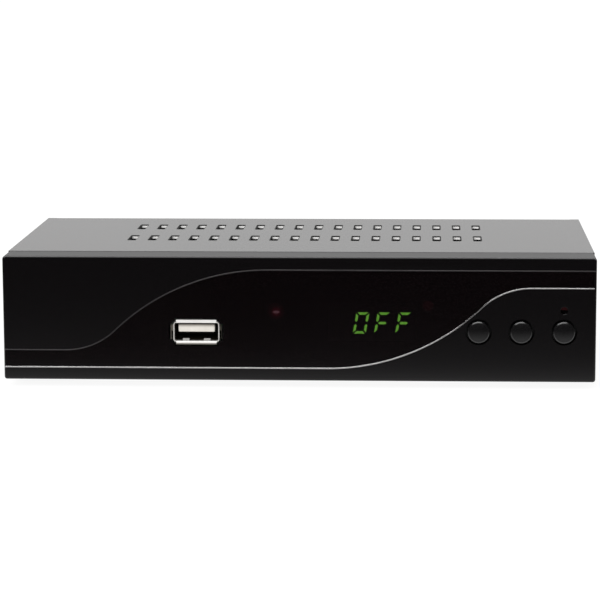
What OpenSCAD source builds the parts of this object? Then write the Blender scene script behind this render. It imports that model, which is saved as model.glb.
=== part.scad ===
// Cable television receiver: a desktop box with a moulded front, a folded steel case,
// two circuit boards inside and a row of sockets at the back.
// X runs to the right seen from the front, Y to the back and Z up. The feet stand on Z = 0,
// and the origin is under the middle of the whole box.

/* [Case] */
// Width across the case
case_w = 168; // [158:1:210]
// Depth from the front face to the rear face
case_d = 90; // [86:1:130]
// Height of the front face, without the feet
case_h = 35; // [33:0.5:48]
// Rise of the top from the front edge to the cover
top_rise = 0.3; // [0.1:0.1:1]

/* [Sheet metal] */
// Thickness of the top cover
cover_t = 1; // [0.5:0.1:1.2]
// Thickness of the base tray
base_t = 0.8; // [0.6:0.1:1.5]
// Outer radius of the cover's bends
bend_r = 1.4; // [1.1:0.1:2.5]
// Play between folded sheets, and between a sheet and the front moulding
sheet_gap = 0.15; // [0.05:0.05:0.4]
// Height of the tray's side flanges
flange_h = 9; // [5:0.5:12]
// Height of the cover's rear lip
lip_h = 8; // [7:0.5:10]
// Seam between the front moulding and the cover
seam = 0.25; // [0.1:0.05:0.6]
// Distance of the cover's screws from the sides
cover_screw_side = 10; // [8:0.5:14]

/* [Vents] */
// Slots in a row
vent_count = 18; // [6:1:22]
// Distance between slots
vent_pitch = 6.03; // [5:0.01:7]
// Width of a slot
vent_w = 2; // [1.5:0.1:4]
// Length of a slot, front to back
vent_l = 11; // [6:0.5:18]
// Distance from the front face to the middle of the front row
vent_y = 41.1; // [30:0.1:50]
// Distance between the two rows
vent_row = 26; // [20:0.1:30]
// Slots in the tray's floor
floor_vent_count = 12; // [4:1:14]
// Length of a slot in the tray's floor
floor_vent_l = 20; // [10:1:28]

/* [Front moulding] */
// Depth of the moulding's rim
panel_d = 11; // [10.6:0.1:16]
// Thickness of the front wall
panel_wall = 2.4; // [2:0.1:2.6]
// Thickness of the rim
rim_wall = 1.9; // [1.6:0.1:3]
// Reach of the rim's tongue under the cover
tongue_l = 3; // [2:0.5:5]
// Room between that tongue and the tray's side flanges
tongue_gap = 1; // [0.5:0.1:2]
// Distance of the screws that hold the tray from the sides
panel_screw_side = 26; // [24:0.5:28]
// Distance of those screws from the back of the rim
panel_screw_in = 6; // [5.5:0.1:7]
// Wall round those screws
tab_wall = 3; // [2:0.1:3.5]
// Radius of the front edges
front_edge_r = 0.5; // [0.2:0.1:1]
// Radius of the bottom corners
bottom_corner_r = 1; // [0.5:0.1:2]
// Radius of the top corners
top_corner_r = 0.6; // [0.3:0.1:1]

/* [Stripes and lens] */
// Distance of each stripe's outer run from the edge of the front
stripe_edge = 3.45; // [2.5:0.05:5]
// Width of the dark band at its two narrow ends
band_end = 4.95; // [4:0.05:7]
// Distance from the left side to where the upper stripe starts to climb
upper_climb_side = 17.7; // [12:0.1:24]
// Distance from the right side to where the lower stripe starts to climb
lower_climb_side = 75.7; // [75:0.1:80]
// Radius of a stripe's tight arc
tight_r = 20.5; // [16:0.5:24]
// Radius of a stripe's wide arc
wide_r = 62.7; // [58:0.1:66]
// Width of the upper stripe
upper_stripe_w = 0.3; // [0.2:0.05:0.8]
// Width of the lower stripe
lower_stripe_w = 0.35; // [0.2:0.05:0.8]
// How far the stripes stand out of the front
stripe_proud = 0.12; // [0.05:0.01:0.3]
// Thickness of the lens
lens_t = 1.2; // [0.8:0.1:1.4]
// Play round the lens and the stripes
trim_gap = 0.05; // [0.03:0.01:0.1]
// Distance of the band's ends from the sides
band_inset = 0.6; // [0.5:0.1:2]

/* [Buttons] */
// Diameter of a button
button_d = 6.3; // [5:0.1:7]
// Play round a button
button_gap = 0.55; // [0.2:0.05:0.7]
// Distance between buttons
button_pitch = 12; // [11.6:0.1:14]
// Distance of the last button from the right side
button_edge = 9; // [8.5:0.1:12]
// Height of the buttons
button_z = 14.1; // [12:0.1:15]
// How far a button stands out of the front
button_proud = 1.2; // [0.8:0.1:2]
// Crown of a button's face
button_crown = 0.3; // [0.1:0.05:0.5]
// Radius of a button's rim
button_rim_r = 0.7; // [0.3:0.05:0.8]
// Travel of a button
button_travel = 0.4; // [0.25:0.05:0.5]
// Width of the flange that keeps a button in
button_flange = 1.1; // [0.9:0.1:1.4]
// Thickness of that flange
flange_t = 0.7; // [0.5:0.05:0.8]
// Play between a button's flange and the moulding
flange_gap = 0.1; // [0.05:0.05:0.2]
// Diameter of a button's stem
stem_d = 4; // [3:0.1:5]
// Wall of the guide sleeve behind each button
sleeve_wall = 1; // [0.6:0.1:1.2]

/* [Push switches] */
// Width of a switch
switch_w = 6; // [5:0.1:7]
// Height of a switch on its board
switch_h = 3.5; // [3:0.1:3.8]
// Diameter of a switch's plunger
plunger_d = 3.4; // [2.5:0.1:4]
// How far a plunger stands out of its switch
plunger_out = 1.4; // [1.2:0.1:1.6]
// How far a plunger reaches into its switch
plunger_in = 1.6; // [1:0.1:1.8]
// Room behind a plunger that is pressed in
plunger_end = 0.2; // [0.1:0.05:0.3]
// Play round a plunger
plunger_gap = 0.08; // [0.05:0.01:0.15]

/* [Lamps and display] */
// Height of the standby lamp
lamp_z = 20.3; // [20:0.1:22]
// Diameter of the hole over the standby lamp
lamp_hole_d = 2.1; // [1.5:0.1:2.4]
// Diameter of a lamp's dome
lamp_d = 3; // [2.5:0.1:3.5]
// Play round the signal lamp in the moulding
lamp_gap = 0.2; // [0.1:0.05:0.4]
// Width of the collar at a lamp's foot
lamp_collar = 0.4; // [0.2:0.05:0.5]
// Distance of the signal lamp from the right side
signal_side = 47.3; // [45.5:0.1:48.5]
// Height of the signal lamp
signal_z = 21.2; // [20.5:0.1:22]
// Distance from the middle of the display to the remote receiver
remote_space = 27.15; // [26.5:0.05:28]
// Height of the remote receiver
remote_z = 19.6; // [19:0.1:20.5]
// Width of the remote receiver
remote_w = 6; // [5:0.1:7]
// Height of the remote receiver
remote_h = 7; // [6:0.1:8]
// Depth of the remote receiver's case
remote_d = 3; // [2.5:0.1:3.5]
// Gap between the lens and the remote receiver's window
remote_in = 1.6; // [0.2:0.1:2]
// Gap between the lens and the signal lamp
signal_in = 0.3; // [0.2:0.1:1]
// Width of the rim round the remote receiver's window
remote_rim = 0.75; // [0.5:0.05:1]
// Digits on the display
digit_count = 4; // [2:1:4]
// Distance between digits
digit_pitch = 6; // [5.6:0.1:6.2]
// Height of a digit
digit_h = 6.1; // [5:0.05:7]
// Width of a digit
digit_w = 3.7; // [3:0.1:4]
// Width of a segment
segment_w = 0.7; // [0.5:0.02:0.9]
// Gap between segments
segment_gap = 0.34; // [0.1:0.02:0.4]
// Slant of the digits
digit_slant = 10; // [0:1:12]
// Diameter of a decimal point
point_d = 0.7; // [0.5:0.05:0.8]
// Drop of a decimal point under its digit
point_drop = 0.43; // [0.4:0.01:0.6]
// Distance from the middle of the display to the right side
display_side = 63.2; // [62.5:0.05:64]
// Height of the middle of the display
display_z = 16.35; // [16:0.05:18]
// Height of the display's case
display_h = 10; // [9:0.1:11]
// Margin of the display's case beside its digits
display_margin = 0.2; // [0.1:0.05:0.4]
// Play round the display in the moulding
display_play = 0.3; // [0.1:0.05:0.5]
// Gap between the display and the lens
display_gap = 0.15; // [0.05:0.05:0.3]
// Thickness of the display's segments
segment_t = 0.1; // [0.05:0.05:0.2]

/* [USB socket] */
// Place across the front
usb_x = -28.95; // [-32:0.05:-27]
// Height of its middle
usb_z = 13.65; // [13:0.05:16]
// Width of the shell
usb_w = 13.1; // [12.8:0.1:13.6]
// Height of the shell
usb_h = 5.8; // [5.5:0.1:6.4]
// Length of the shell
usb_l = 14; // [13:0.5:19]
// Thickness of the shell's sheet
usb_t = 0.3; // [0.2:0.05:0.4]
// Flare of the lips over and under its mouth
usb_flare = 0.65; // [0.4:0.05:0.8]
// Depth of the lips over and under its mouth
usb_lip_d = 0.4; // [0.3:0.05:0.6]
// Flare of the tabs punched out of its sides
usb_side_flare = 0.75; // [0.4:0.05:0.8]
// Depth of the tabs punched out of its sides
usb_side_lip_d = 1.9; // [1.4:0.1:2.2]
// Width of the strip of side wall left in front of each tab
usb_strip = 0.35; // [0.3:0.05:0.4]
// How far the mouth lies behind the front face
usb_recess = 0.2; // [0.1:0.05:0.6]
// Play between the lips and the window in the front
usb_gap = 0.35; // [0.2:0.05:0.5]
// Thickness of its tongue
usb_tongue_t = 2; // [1.6:0.05:2.1]
// Gap between the tongue and the top of the shell
usb_tongue_drop = 0.5; // [0.3:0.05:0.6]
// Gap between the tongue and the sides of the shell
usb_tongue_side = 1.05; // [0.6:0.05:1.2]
// How far the tongue's tip lies behind the mouth
usb_tongue_in = 1.6; // [1:0.1:2]
// Thickness of the wall that carries the tongue
usb_wall_t = 3; // [2:0.1:4]
// Width of the board beyond each side of the shell
usb_board_side = 2; // [1:0.1:3]
// How far the board's tongue ends behind the mouth
usb_board_in = 4; // [3:0.1:5]
// Play round a moulded insulator in its shell
insulator_play = 0.03; // [0.02:0.01:0.1]

/* [Boards] */
// Thickness of both boards
board_t = 1.6; // [1.2:0.2:2]
// Distance of the main board from the sides
board_side = 6; // [5:0.5:8]
// Distance of the main board from the panels in front of it and behind it
board_end = 1.2; // [1:0.1:2]
// Width of the front board
front_board_w = 92.9; // [92:0.1:96]
// Distance of the front board from the rim
front_board_side = 1.2; // [0.8:0.1:2]
// Distance of the front board from the back of the rim
front_board_in = 0.4; // [0.2:0.1:0.6]
// Diameter of the standoffs under the main board
standoff_d = 5; // [4.5:0.1:6]
// Diameter of the bosses behind the front board's screws
boss_d = 4.6; // [4:0.1:5]
// Distance of those bosses from the front board's edges
boss_edge = 0.4; // [0.2:0.1:0.8]
// Distance of the standoffs from the main board's ends
post_end = 5; // [4:0.5:7]
// Room between a standoff's screw and the sockets beside it
post_gap = 1.5; // [1:0.1:2]

/* [Screws] */
// Diameter of the case screws and the board screws
screw_d = 3; // [2.5:0.1:3]
// Diameter of their heads
screw_head_d = 5.4; // [5:0.1:5.6]
// Height of their heads
screw_head_h = 1.7; // [1.2:0.1:2]
// Length of their shanks
screw_l = 5; // [4:0.5:6]
// Diameter of the front board's screws
small_screw_d = 2.2; // [1.8:0.1:2.4]
// Diameter of the front board's screw heads
small_head_d = 4; // [3.6:0.1:4.4]
// Length of the front board's screws in their bosses
small_screw_l = 5; // [3:0.5:6]
// Height of the front board's screw heads
small_head_h = 1.3; // [1:0.1:1.5]
// Play round a screw in the piece it clamps
screw_play = 0.2; // [0.1:0.05:0.3]
// Play round a screw in its thread
thread_play = 0.02; // [0.01:0.01:0.05]
// Room past a screw's tip
thread_end = 0.6; // [0.3:0.1:1]

/* [Feet] */
// Height of the rubber feet
foot_h = 2.5; // [2:0.1:6]
// Diameter of a foot where it is stuck on
foot_d = 12; // [8:0.5:14]
// Diameter of the hollow under a foot
foot_hollow_d = 4.8; // [3:0.1:5]
// Depth of that hollow
foot_hollow_h = 0.8; // [0.5:0.1:1]
// Taper of a foot's side
foot_taper = 0.6; // [0.2:0.1:1]
// Distance of the feet from the sides
foot_side = 14; // [10:0.5:20]
// Distance of the feet from the front and the back
foot_end = 24; // [22:0.5:28]

/* [Aerial sockets] */
// Distance of the aerial input from the left side
rf_side = 15; // [14:0.5:18]
// Distance between the aerial input and output
rf_pitch = 16; // [15:0.5:18]
// Height of the aerial sockets over the board
rf_up = 7.4; // [7:0.1:8]
// How far the aerial sockets reach out of the back
rf_l = 9.5; // [8:0.5:12]
// Bore of the aerial input
rf_in_bore = 9.6; // [9.5:0.05:9.8]
// Outer diameter of the aerial input
rf_in_d = 11.8; // [11.2:0.1:12.4]
// Outer diameter of the aerial output
rf_out_d = 9.5; // [9.4:0.05:9.6]
// Wall of the aerial output
rf_out_wall = 0.6; // [0.4:0.05:0.8]
// Diameter of the aerial output's pin
rf_pin_d = 2.4; // [2.2:0.05:2.5]
// Wall of the aerial input's spring contact
rf_contact_wall = 0.7; // [0.5:0.05:0.9]
// How far that contact ends behind the aerial input's mouth
rf_contact_in = 2; // [1:0.1:3]
// Thickness of the insulators at the root of the aerial sockets
rf_insulator_t = 1.5; // [1:0.1:2]
// Width of the tuner's can
tuner_w = 33; // [32:0.5:36]
// Depth of the tuner's can
tuner_d = 24; // [20:0.5:30]
// Height of the tuner's can
tuner_h = 13.5; // [13:0.1:14]
// Thickness of the can's lid
tuner_lid_t = 0.4; // [0.3:0.1:0.6]

/* [Video and sound sockets] */
// Width of the digital video socket
hdmi_w = 15; // [14.5:0.1:15.5]
// Height of the digital video socket
hdmi_h = 5.8; // [5.5:0.1:6.2]
// Length of the digital video socket
hdmi_l = 11; // [10:0.5:13]
// Thickness of its shell
hdmi_t = 0.4; // [0.3:0.05:0.5]
// How far its mouth stands out of the back
hdmi_proud = 0.4; // [0.2:0.1:1]
// Thickness of its tongue
hdmi_tongue_t = 1.2; // [1:0.1:1.5]
// Gap between its tongue and the outside of its shell
hdmi_tongue_side = 2; // [1.5:0.1:3]
// How far its tongue's tip lies behind its mouth
hdmi_tongue_in = 1.2; // [0.8:0.1:2]
// Distance from the tuner to the digital video socket
hdmi_space = 10; // [9:0.5:12]
// Distance from the digital video socket to the digital sound socket
coax_space = 6; // [4:0.5:8]
// Width of the digital sound socket's base
coax_w = 10; // [9.5:0.1:11]
// How much taller than wide that base is
coax_up = 1; // [0.5:0.1:2]
// Outer diameter of the digital sound socket
coax_d = 8.3; // [8.2:0.05:8.4]
// Wall of its barrel
coax_wall = 0.5; // [0.4:0.05:0.6]
// Diameter of its centre hole
coax_hole_d = 3.2; // [3.1:0.05:3.4]
// How far it reaches out of the back
coax_l = 8.5; // [7:0.5:9.5]
// Width of the wide audio and video socket
scart_w = 47; // [46:0.5:48]
// Height of its mouth
scart_h = 15; // [14.5:0.1:16]
// Height of its mouth over the board
scart_up = 0.6; // [0.2:0.1:2]
// How far it stands out of the back
scart_proud = 4; // [2:0.5:6]
// Length of its body behind the rear panel
scart_l = 16; // [14:0.5:20]
// Wall round its mouth
scart_wall = 1.5; // [1.2:0.1:1.7]
// How far its body rises over its mouth
scart_roof = 2.9; // [2:0.1:4]
// Depth of its mouth
scart_deep = 9; // [7:0.5:10]
// Contacts in each of its two rows
scart_count = 10; // [6:1:10]
// Distance between its contacts
scart_pitch = 3.81; // [3.6:0.01:3.9]
// Distance of the power socket from the right side
dc_side = 12; // [11:0.5:14]
// Width of the power socket
dc_w = 9; // [8.5:0.1:10]
// Height of the power socket
dc_h = 11; // [10:0.1:12]
// Length of the power socket
dc_l = 14; // [12:0.5:15]
// Bore of the power socket
dc_bore = 6; // [5.6:0.1:6.4]
// Depth of that bore
dc_deep = 9.5; // [8:0.5:10]
// Diameter of the power socket's pin
dc_pin_d = 2.1; // [1.9:0.1:2.5]
// Wall of the collars that pass the rear panel
collar_wall = 0.6; // [0.4:0.1:1]
// How far those collars stand out of the rear panel
collar_out = 0.5; // [0.2:0.1:1]
// Play round the sockets in the rear panel
cutout_gap = 0.4; // [0.2:0.1:0.8]
// Gap between the sockets' bodies and the rear panel
socket_gap = 0.2; // [0.1:0.05:0.4]
// How far the power socket stands out of the rear panel
dc_proud = 0.3; // [0.1:0.1:1]
// How far the power socket's pin ends behind its mouth
dc_pin_in = 1; // [0.5:0.1:2]

/* [Main board parts] */
// Width of the main processor
chip_w = 20; // [16:0.5:22]
// Place of the main processor across the board
chip_x = -6; // [-8:0.5:-4]
// Distance of the main processor from the board's front edge
chip_in = 22; // [20:0.5:26]
// Height of the main processor
chip_h = 1.6; // [1.2:0.1:2]
// Width of the heat sink
sink_w = 25; // [22:0.5:28]
// Height of the heat sink
sink_h = 9; // [7:0.5:10]
// Thickness of the heat sink's floor
sink_floor = 2; // [1.5:0.1:3]
// Fins on the heat sink
sink_fins = 8; // [5:1:9]
// Thickness of a fin
fin_t = 1; // [0.8:0.1:1.4]
// Diameter of a large capacitor
capacitor_d = 8; // [6:0.5:9]
// Height of a large capacitor
capacitor_h = 11; // [9:0.5:12]
// Distance between capacitors
capacitor_pitch = 10; // [9.5:0.5:12]
// Gap between the power socket and the first capacitors
capacitor_gap = 2; // [1.5:0.5:4]
// Distance of the front capacitors from the board's front edge
capacitor_in = 16; // [13:0.5:18]
// Width of a power choke
choke_w = 7; // [6:0.5:8]
// Height of a power choke
choke_h = 4.5; // [3:0.5:6]
// Wall of a choke's shield round its core
choke_wall = 0.5; // [0.3:0.1:1]
// How far a choke's core rises over its shield
choke_core_up = 0.6; // [0.2:0.1:1]
// Distance from the power socket's middle to the first choke
choke_space = 16; // [14:0.5:18]
// Distance between chokes
choke_pitch = 12; // [10:0.5:14]
// Distance of the chokes from the board's front edge
choke_in = 32; // [28:0.5:34]
// Width of a memory chip
memory_w = 12; // [8:0.5:14]
// Depth of a memory chip
memory_d = 8; // [6:0.5:12]
// Height of a memory chip
memory_h = 1.1; // [0.8:0.1:1.4]
// Distance from the processor to the memory chips
memory_space = 26; // [24:0.5:30]
// Distance between memory chips
memory_pitch = 16; // [14:0.5:20]
// Pins between the two boards
header_pins = 10; // [6:1:12]
// Distance between those pins
header_pitch = 2.54; // [2:0.01:2.54]
// Thickness of those pins
header_pin = 0.64; // [0.5:0.02:0.7]
// Thickness of the strip that holds those pins
header_block = 2.5; // [2:0.1:3]
// Distance of that strip from the board's front edge
header_in = 1; // [0.5:0.1:2]

/* [Hidden] */
$fn = 64;
// Overlap of a cut past the face that it opens
over = 1;
// Depth to which a boss, a sleeve or a lip is rooted in what carries it
root = 0.2;
// Straight steps in a small round corner and in a stripe's long arc
corner_steps = 8;
line_steps = 20;

// Frame: y is measured from the front face and z from the underside of the case.
total_d = button_proud + case_d + rf_l;
front_y = button_proud - total_d / 2;
top_z = case_h + top_rise;
half_w = case_w / 2;
// Step from the outer face of the case to what lies just under the cover
step = cover_t + sheet_gap;
rear_out = case_d - step;
rear_in = rear_out - base_t;
cover_y = panel_d + seam;
inner_w = half_w - step;
under_cover = top_z - step;

// Stripes
stripe_rise = case_h - 2 * stripe_edge - band_end;
stripe_turn = acos(1 - stripe_rise / (tight_r + wide_r));
upper_stripe_x = upper_climb_side - half_w;
upper_stripe_z = stripe_edge + band_end;
lower_stripe_x = half_w - lower_climb_side;
lower_stripe_z = stripe_edge;
// Ends of the recess, and of what lies in it
band_end_x = half_w - band_inset;
trim_end_x = band_end_x - trim_gap;

// Boards
board_top = usb_z - usb_h / 2;
board_z = board_top - board_t;
board_y = panel_d + tongue_l + board_end;
board_back = rear_in - board_end;
board_half = half_w - board_side;
front_board_y = panel_d - board_t - front_board_in;
front_board_right = half_w - rim_wall - front_board_side;
front_board_x = front_board_right - front_board_w;
front_board_low = rim_wall + front_board_side;
front_board_high = case_h - rim_wall - front_board_side;
boss_in = boss_d / 2 + boss_edge;
boss_xs = [front_board_x + boss_in, front_board_right - boss_in];
boss_zs = [front_board_low + boss_in, front_board_high - boss_in];

// Buttons
button_xs = [for (i = [2:-1:0]) half_w - button_edge - i * button_pitch];
button_flange_d = button_d + 2 * button_gap + 2 * button_flange;
sleeve_bore = button_flange_d + 2 * flange_gap;
flange_y = panel_wall + flange_gap;
plunger_y = front_board_y - switch_h - plunger_out;
sleeve_l = flange_gap + flange_t + button_travel;

// Display
display_y = lens_t + display_gap + segment_t;
display_w = digit_count * digit_pitch + 2 * display_margin;
display_x = half_w - display_side;
remote_x = display_x - remote_space;
remote_window_d = remote_w - 2 * remote_rim;
signal_x = half_w - signal_side;
lamp_x = button_xs[2];
lamp_y = panel_wall + sleeve_l + flange_gap;

// USB socket
usb_inner = [usb_w - 2 * usb_t, usb_h - 2 * usb_t];
usb_tongue_w = usb_inner[0] - 2 * usb_tongue_side;
usb_tongue_top = usb_inner[1] / 2 - usb_tongue_drop;
usb_back = usb_recess + usb_l;
usb_lip_y = usb_recess + usb_lip_d;
usb_side_lip_y = usb_recess + usb_side_lip_d;
usb_corner_r = 0.8;
usb_board_w = usb_w + 2 * usb_board_side;
usb_board_y = usb_recess + usb_board_in;

// Rear row, worked out from the two sides towards the middle
// Width that a collar and its play add to a hole in the rear panel
collar_hole = 2 * collar_wall + 2 * cutout_gap;
rf_in_x = -half_w + rf_side;
rf_out_x = rf_in_x + rf_pitch;
rf_z = board_top + rf_up;
rf_end = case_d + rf_l;
tuner_x = (rf_in_x + rf_out_x) / 2;
tuner_right = tuner_x + tuner_w / 2;
socket_back = rear_in - socket_gap;
rear_left_post = tuner_right + tuner_lid_t + screw_head_d / 2 + post_gap;
hdmi_x = tuner_right + hdmi_space + hdmi_w / 2;
hdmi_end = rear_out + hdmi_proud;
coax_x = hdmi_x + hdmi_w / 2 + coax_space + coax_w / 2;
coax_z = board_top + coax_w / 2;
coax_end = case_d + coax_l;
coax_root = socket_back - coax_w / 2;
coax_root_d = coax_d - coax_wall;
coax_bore = coax_d - 3 * coax_wall;
dc_x = half_w - dc_side;
dc_z = board_top + dc_h / 2;
dc_end = rear_out + dc_proud;
dc_floor = dc_end - dc_deep;
rear_right_post = dc_x - dc_w / 2 - screw_head_d / 2 - post_gap;
scart_x = rear_right_post - screw_head_d / 2 - post_gap - scart_w / 2;
scart_z = board_top + scart_up + scart_h / 2;
scart_end = case_d + scart_proud;
scart_floor = scart_end - scart_deep;
scart_slot_deep = 5;
posts = [
    [-board_half + post_end, board_y + post_end],
    [board_half - post_end, board_y + post_end],
    [rear_left_post, board_back - post_end],
    [rear_right_post, board_back - post_end]
];

// Screws through the cover's rear lip and through the tray into the front moulding
cover_screw_x = half_w - cover_screw_side;
cover_screw_z = top_z - (lip_h + cover_t) / 2;
panel_screw_x = half_w - panel_screw_side;
panel_screw_y = panel_d + panel_screw_in;
tab_w = screw_d + 2 * tab_wall;
tab_h = screw_l + 2 * thread_end - base_t;
tab_back = panel_screw_y + tab_w / 2;

// Feet
feet_x = half_w - foot_side;
feet_y = [foot_end, case_d - foot_end];

// Main board parts
chip_at = [chip_x, board_y + chip_in];
capacitor_x = dc_x - capacitor_d / 2;
capacitor_y = board_back - dc_l - capacitor_gap - capacitor_d / 2;
capacitors_at = [
    [capacitor_x, capacitor_y],
    [capacitor_x - capacitor_pitch, capacitor_y],
    [capacitor_x, capacitor_y - capacitor_pitch],
    [scart_x + capacitor_pitch / 2, board_y + capacitor_in],
    [scart_x - capacitor_pitch / 2, board_y + capacitor_in]
];
chokes_at = [for (i = [0, 1]) [dc_x - choke_space - i * choke_pitch, board_y + choke_in]];
memory_at = [for (side = [-1, 1]) chip_at + [-memory_space, side * memory_pitch / 2]];

// Puts a piece that is drawn from the front face and the case's underside in its place.
module seated() {
    translate([0, front_y, foot_h]) children();
}

// A block between two corners.
module block(low, high) {
    translate(low) cube(high - low);
}

// A flat shape drawn across and up, given thickness from y0 towards the back.
module plate(y0, thick) {
    translate([0, y0 + thick, 0]) rotate([90, 0, 0]) linear_extrude(thick) children();
}

// A profile drawn front to back and up, swept from the left to the right by width.
module swept(width) {
    translate([-width / 2, 0, 0]) rotate([90, 0, 90]) linear_extrude(width) children();
}

// A round bar from y0 to y1.
module bar(x, z, y0, y1, d) {
    translate([x, y0, z]) rotate([-90, 0, 0]) cylinder(d = d, h = y1 - y0);
}

// A tube from y0 to y1.
module tube(x, z, y0, y1, d, bore) {
    difference() {
        bar(x, z, y0, y1, d);
        bar(x, z, y0 - over, y1 + over, bore);
    }
}

// A rectangle between two corners.
module box2(low, high) {
    translate(low) square(high - low);
}

// Points of a round corner.
function arc(middle, r, from, to, steps = corner_steps) = [
    for (i = [0:steps])
        let (a = from + (to - from) * i / steps)
        middle + r * [cos(a), sin(a)]
];

// Points of a rectangle's corner, sharp where r is 0. The arc's first radius points along from.
function corner(at, r, from) =
    r == 0 ? [at] : arc(at - sqrt(2) * r * [cos(from + 45), sin(from + 45)], r, from, from + 90);

// A rectangle whose four corners are rounded: lower two by low_r, upper two by high_r.
module round_box2(low, high, low_r, high_r) {
    polygon(concat(
        corner(low, low_r, 180),
        corner([high[0], low[1]], low_r, 270),
        corner(high, high_r, 0),
        corner([low[0], high[1]], high_r, 90)
    ));
}

// A list of points without its first one.
function after_first(points) = [for (i = [1:len(points) - 1]) points[i]];

// Points of a stripe's line from end to end, moved up by shift. The line runs flat at height z to x,
// climbs on a hollow arc that turns into a crowned one, and runs flat again.
function line_points(x, z, hollow_r, crown_r, shift, end_x) =
    let (
        slope = [sin(stripe_turn), -cos(stripe_turn)],
        hollow = [x, z + hollow_r],
        crown = hollow + (hollow_r + crown_r) * slope
    )
    concat(
        [[-end_x, z + shift]],
        arc(hollow, hollow_r - shift, -90, stripe_turn - 90, line_steps),
        after_first(arc(crown, crown_r + shift, 90 + stripe_turn, 90, line_steps)),
        [[end_x, z + stripe_rise + shift]]
    );

function upper_line(shift, end_x) =
    line_points(upper_stripe_x, upper_stripe_z, tight_r, wide_r, shift, end_x);

function lower_line(shift, end_x) =
    line_points(lower_stripe_x, lower_stripe_z, wide_r, tight_r, shift, end_x);

// The area between two such lines.
module between(low, high) {
    polygon(concat(low, [for (i = [len(high) - 1:-1:0]) high[i]]));
}

// A pan-head screw that points to the back, with its head's seat at y.
module screw(x, z, y, d, head_d, head_h, shank_l) {
    edge = head_h / 2;
    translate([x, y, z]) rotate([-90, 0, 0]) union() {
        cylinder(d = d, h = shank_l);
        rotate_extrude() polygon(concat(
            [[0, 0], [0, -head_h], [head_d / 2 - edge, -head_h]],
            arc([head_d / 2 - edge, -head_h + edge], edge, -90, 0),
            [[head_d / 2, 0]]
        ));
    }
}

// A row of upright slots across the case, from low to high, to be cut out of a sheet.
module slots(count, y, length, low, high) {
    for (i = [0:count - 1]) translate([(i - (count - 1) / 2) * vent_pitch, y, low])
        linear_extrude(high - low) box2([-vent_w / 2, -length / 2], [vent_w / 2, length / 2]);
}

// The tray: floor, two side flanges and the rear panel, folded from one sheet, with the cut-outs
// for the sockets and for the screws.
module base_chassis() {
    color("#8e9092") seated() difference() {
        union() {
            translate([0, rear_out, 0]) rotate([90, 0, 0]) linear_extrude(rear_out - cover_y)
                difference() {
                    round_box2([-inner_w, 0], [inner_w, flange_h], base_t, 0);
                    box2([-inner_w + base_t, base_t], [inner_w - base_t, flange_h + over]);
                }
            plate(rear_in, base_t) box2([-inner_w, base_t / 2], [inner_w, under_cover]);
        }
        bar(rf_in_x, rf_z, rear_in - over, rear_out + over, rf_in_d + collar_hole);
        bar(rf_out_x, rf_z, rear_in - over, rear_out + over, rf_out_d + collar_hole);
        plate(rear_in - over, base_t + 2 * over) {
            box2([hdmi_x - hdmi_w / 2 - cutout_gap, board_top - cutout_gap],
                [hdmi_x + hdmi_w / 2 + cutout_gap, board_top + hdmi_h + cutout_gap]);
            scart_outline(cutout_gap);
            box2([dc_x - dc_w / 2 - cutout_gap, board_top - cutout_gap],
                [dc_x + dc_w / 2 + cutout_gap, board_top + dc_h + cutout_gap]);
        }
        bar(coax_x, coax_z, rear_in - over, rear_out + over, coax_d + collar_hole);
        for (side = [-1, 1]) {
            bar(side * cover_screw_x, cover_screw_z, rear_in - over, rear_out + over,
                screw_d + 2 * thread_play);
            translate([side * panel_screw_x, panel_screw_y, -over])
                cylinder(d = screw_d + 2 * screw_play, h = base_t + 2 * over);
        }
        slots(floor_vent_count, case_d / 2, floor_vent_l, -over, base_t + over);
    }
}

// A rubber foot: a tapered puck with a hollow underside.
module foot(side, y) {
    color("#1c1c1d") translate([side * feet_x, front_y + y, 0]) difference() {
        cylinder(d1 = foot_d - 2 * foot_taper, d2 = foot_d, h = foot_h);
        translate([0, 0, -over]) cylinder(d = foot_hollow_d, h = over + foot_hollow_h);
    }
}

module foot_front_left() { foot(-1, feet_y[0]); }
module foot_front_right() { foot(1, feet_y[0]); }
module foot_rear_left() { foot(-1, feet_y[1]); }
module foot_rear_right() { foot(1, feet_y[1]); }

// Pressed-in threaded posts that carry the main board.
module board_standoffs() {
    color("#b9bbbd") seated() for (at = posts) translate([at[0], at[1], base_t]) difference() {
        cylinder(d = standoff_d, h = board_z - base_t);
        translate([0, 0, board_z - base_t - screw_l - thread_end])
            cylinder(d = screw_d + 2 * thread_play, h = screw_l + thread_end + over);
    }
}

// The main circuit board, with a tongue that carries the USB socket to the front.
module main_board() {
    color("#1f5a34") seated() difference() {
        union() {
            block([-board_half, board_y, board_z], [board_half, board_back, board_top]);
            block([usb_x - usb_board_w / 2, usb_board_y, board_z],
                [usb_x + usb_board_w / 2, board_y + over, board_top]);
        }
        for (at = posts) translate([at[0], at[1], board_z - over])
            cylinder(d = screw_d + 2 * screw_play, h = board_t + 2 * over);
    }
}

// Screws that hold the main board on its posts.
module board_screws() {
    color("#c6c7c8") seated() for (at = posts) translate([at[0], at[1], board_top]) rotate([-90, 0, 0])
        screw(0, 0, 0, screw_d, screw_head_d, screw_head_h, board_t + screw_l);
}

// The flat package of the main processor.
module main_processor() {
    color("#202123") seated() translate([chip_at[0], chip_at[1], board_top])
        linear_extrude(chip_h) box2([-chip_w / 2, -chip_w / 2], [chip_w / 2, chip_w / 2]);
}

// The finned heat sink glued to the processor.
module heat_sink() {
    fin_pitch = (sink_w - fin_t) / (sink_fins - 1);
    color("#a9abad") seated() translate([chip_at[0], chip_at[1], board_top + chip_h]) {
        block([-sink_w / 2, -sink_w / 2, 0], [sink_w / 2, sink_w / 2, sink_floor]);
        for (i = [0:sink_fins - 1]) translate([-sink_w / 2 + i * fin_pitch, 0, 0])
            block([0, -sink_w / 2, sink_floor / 2], [fin_t, sink_w / 2, sink_h]);
    }
}

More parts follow.
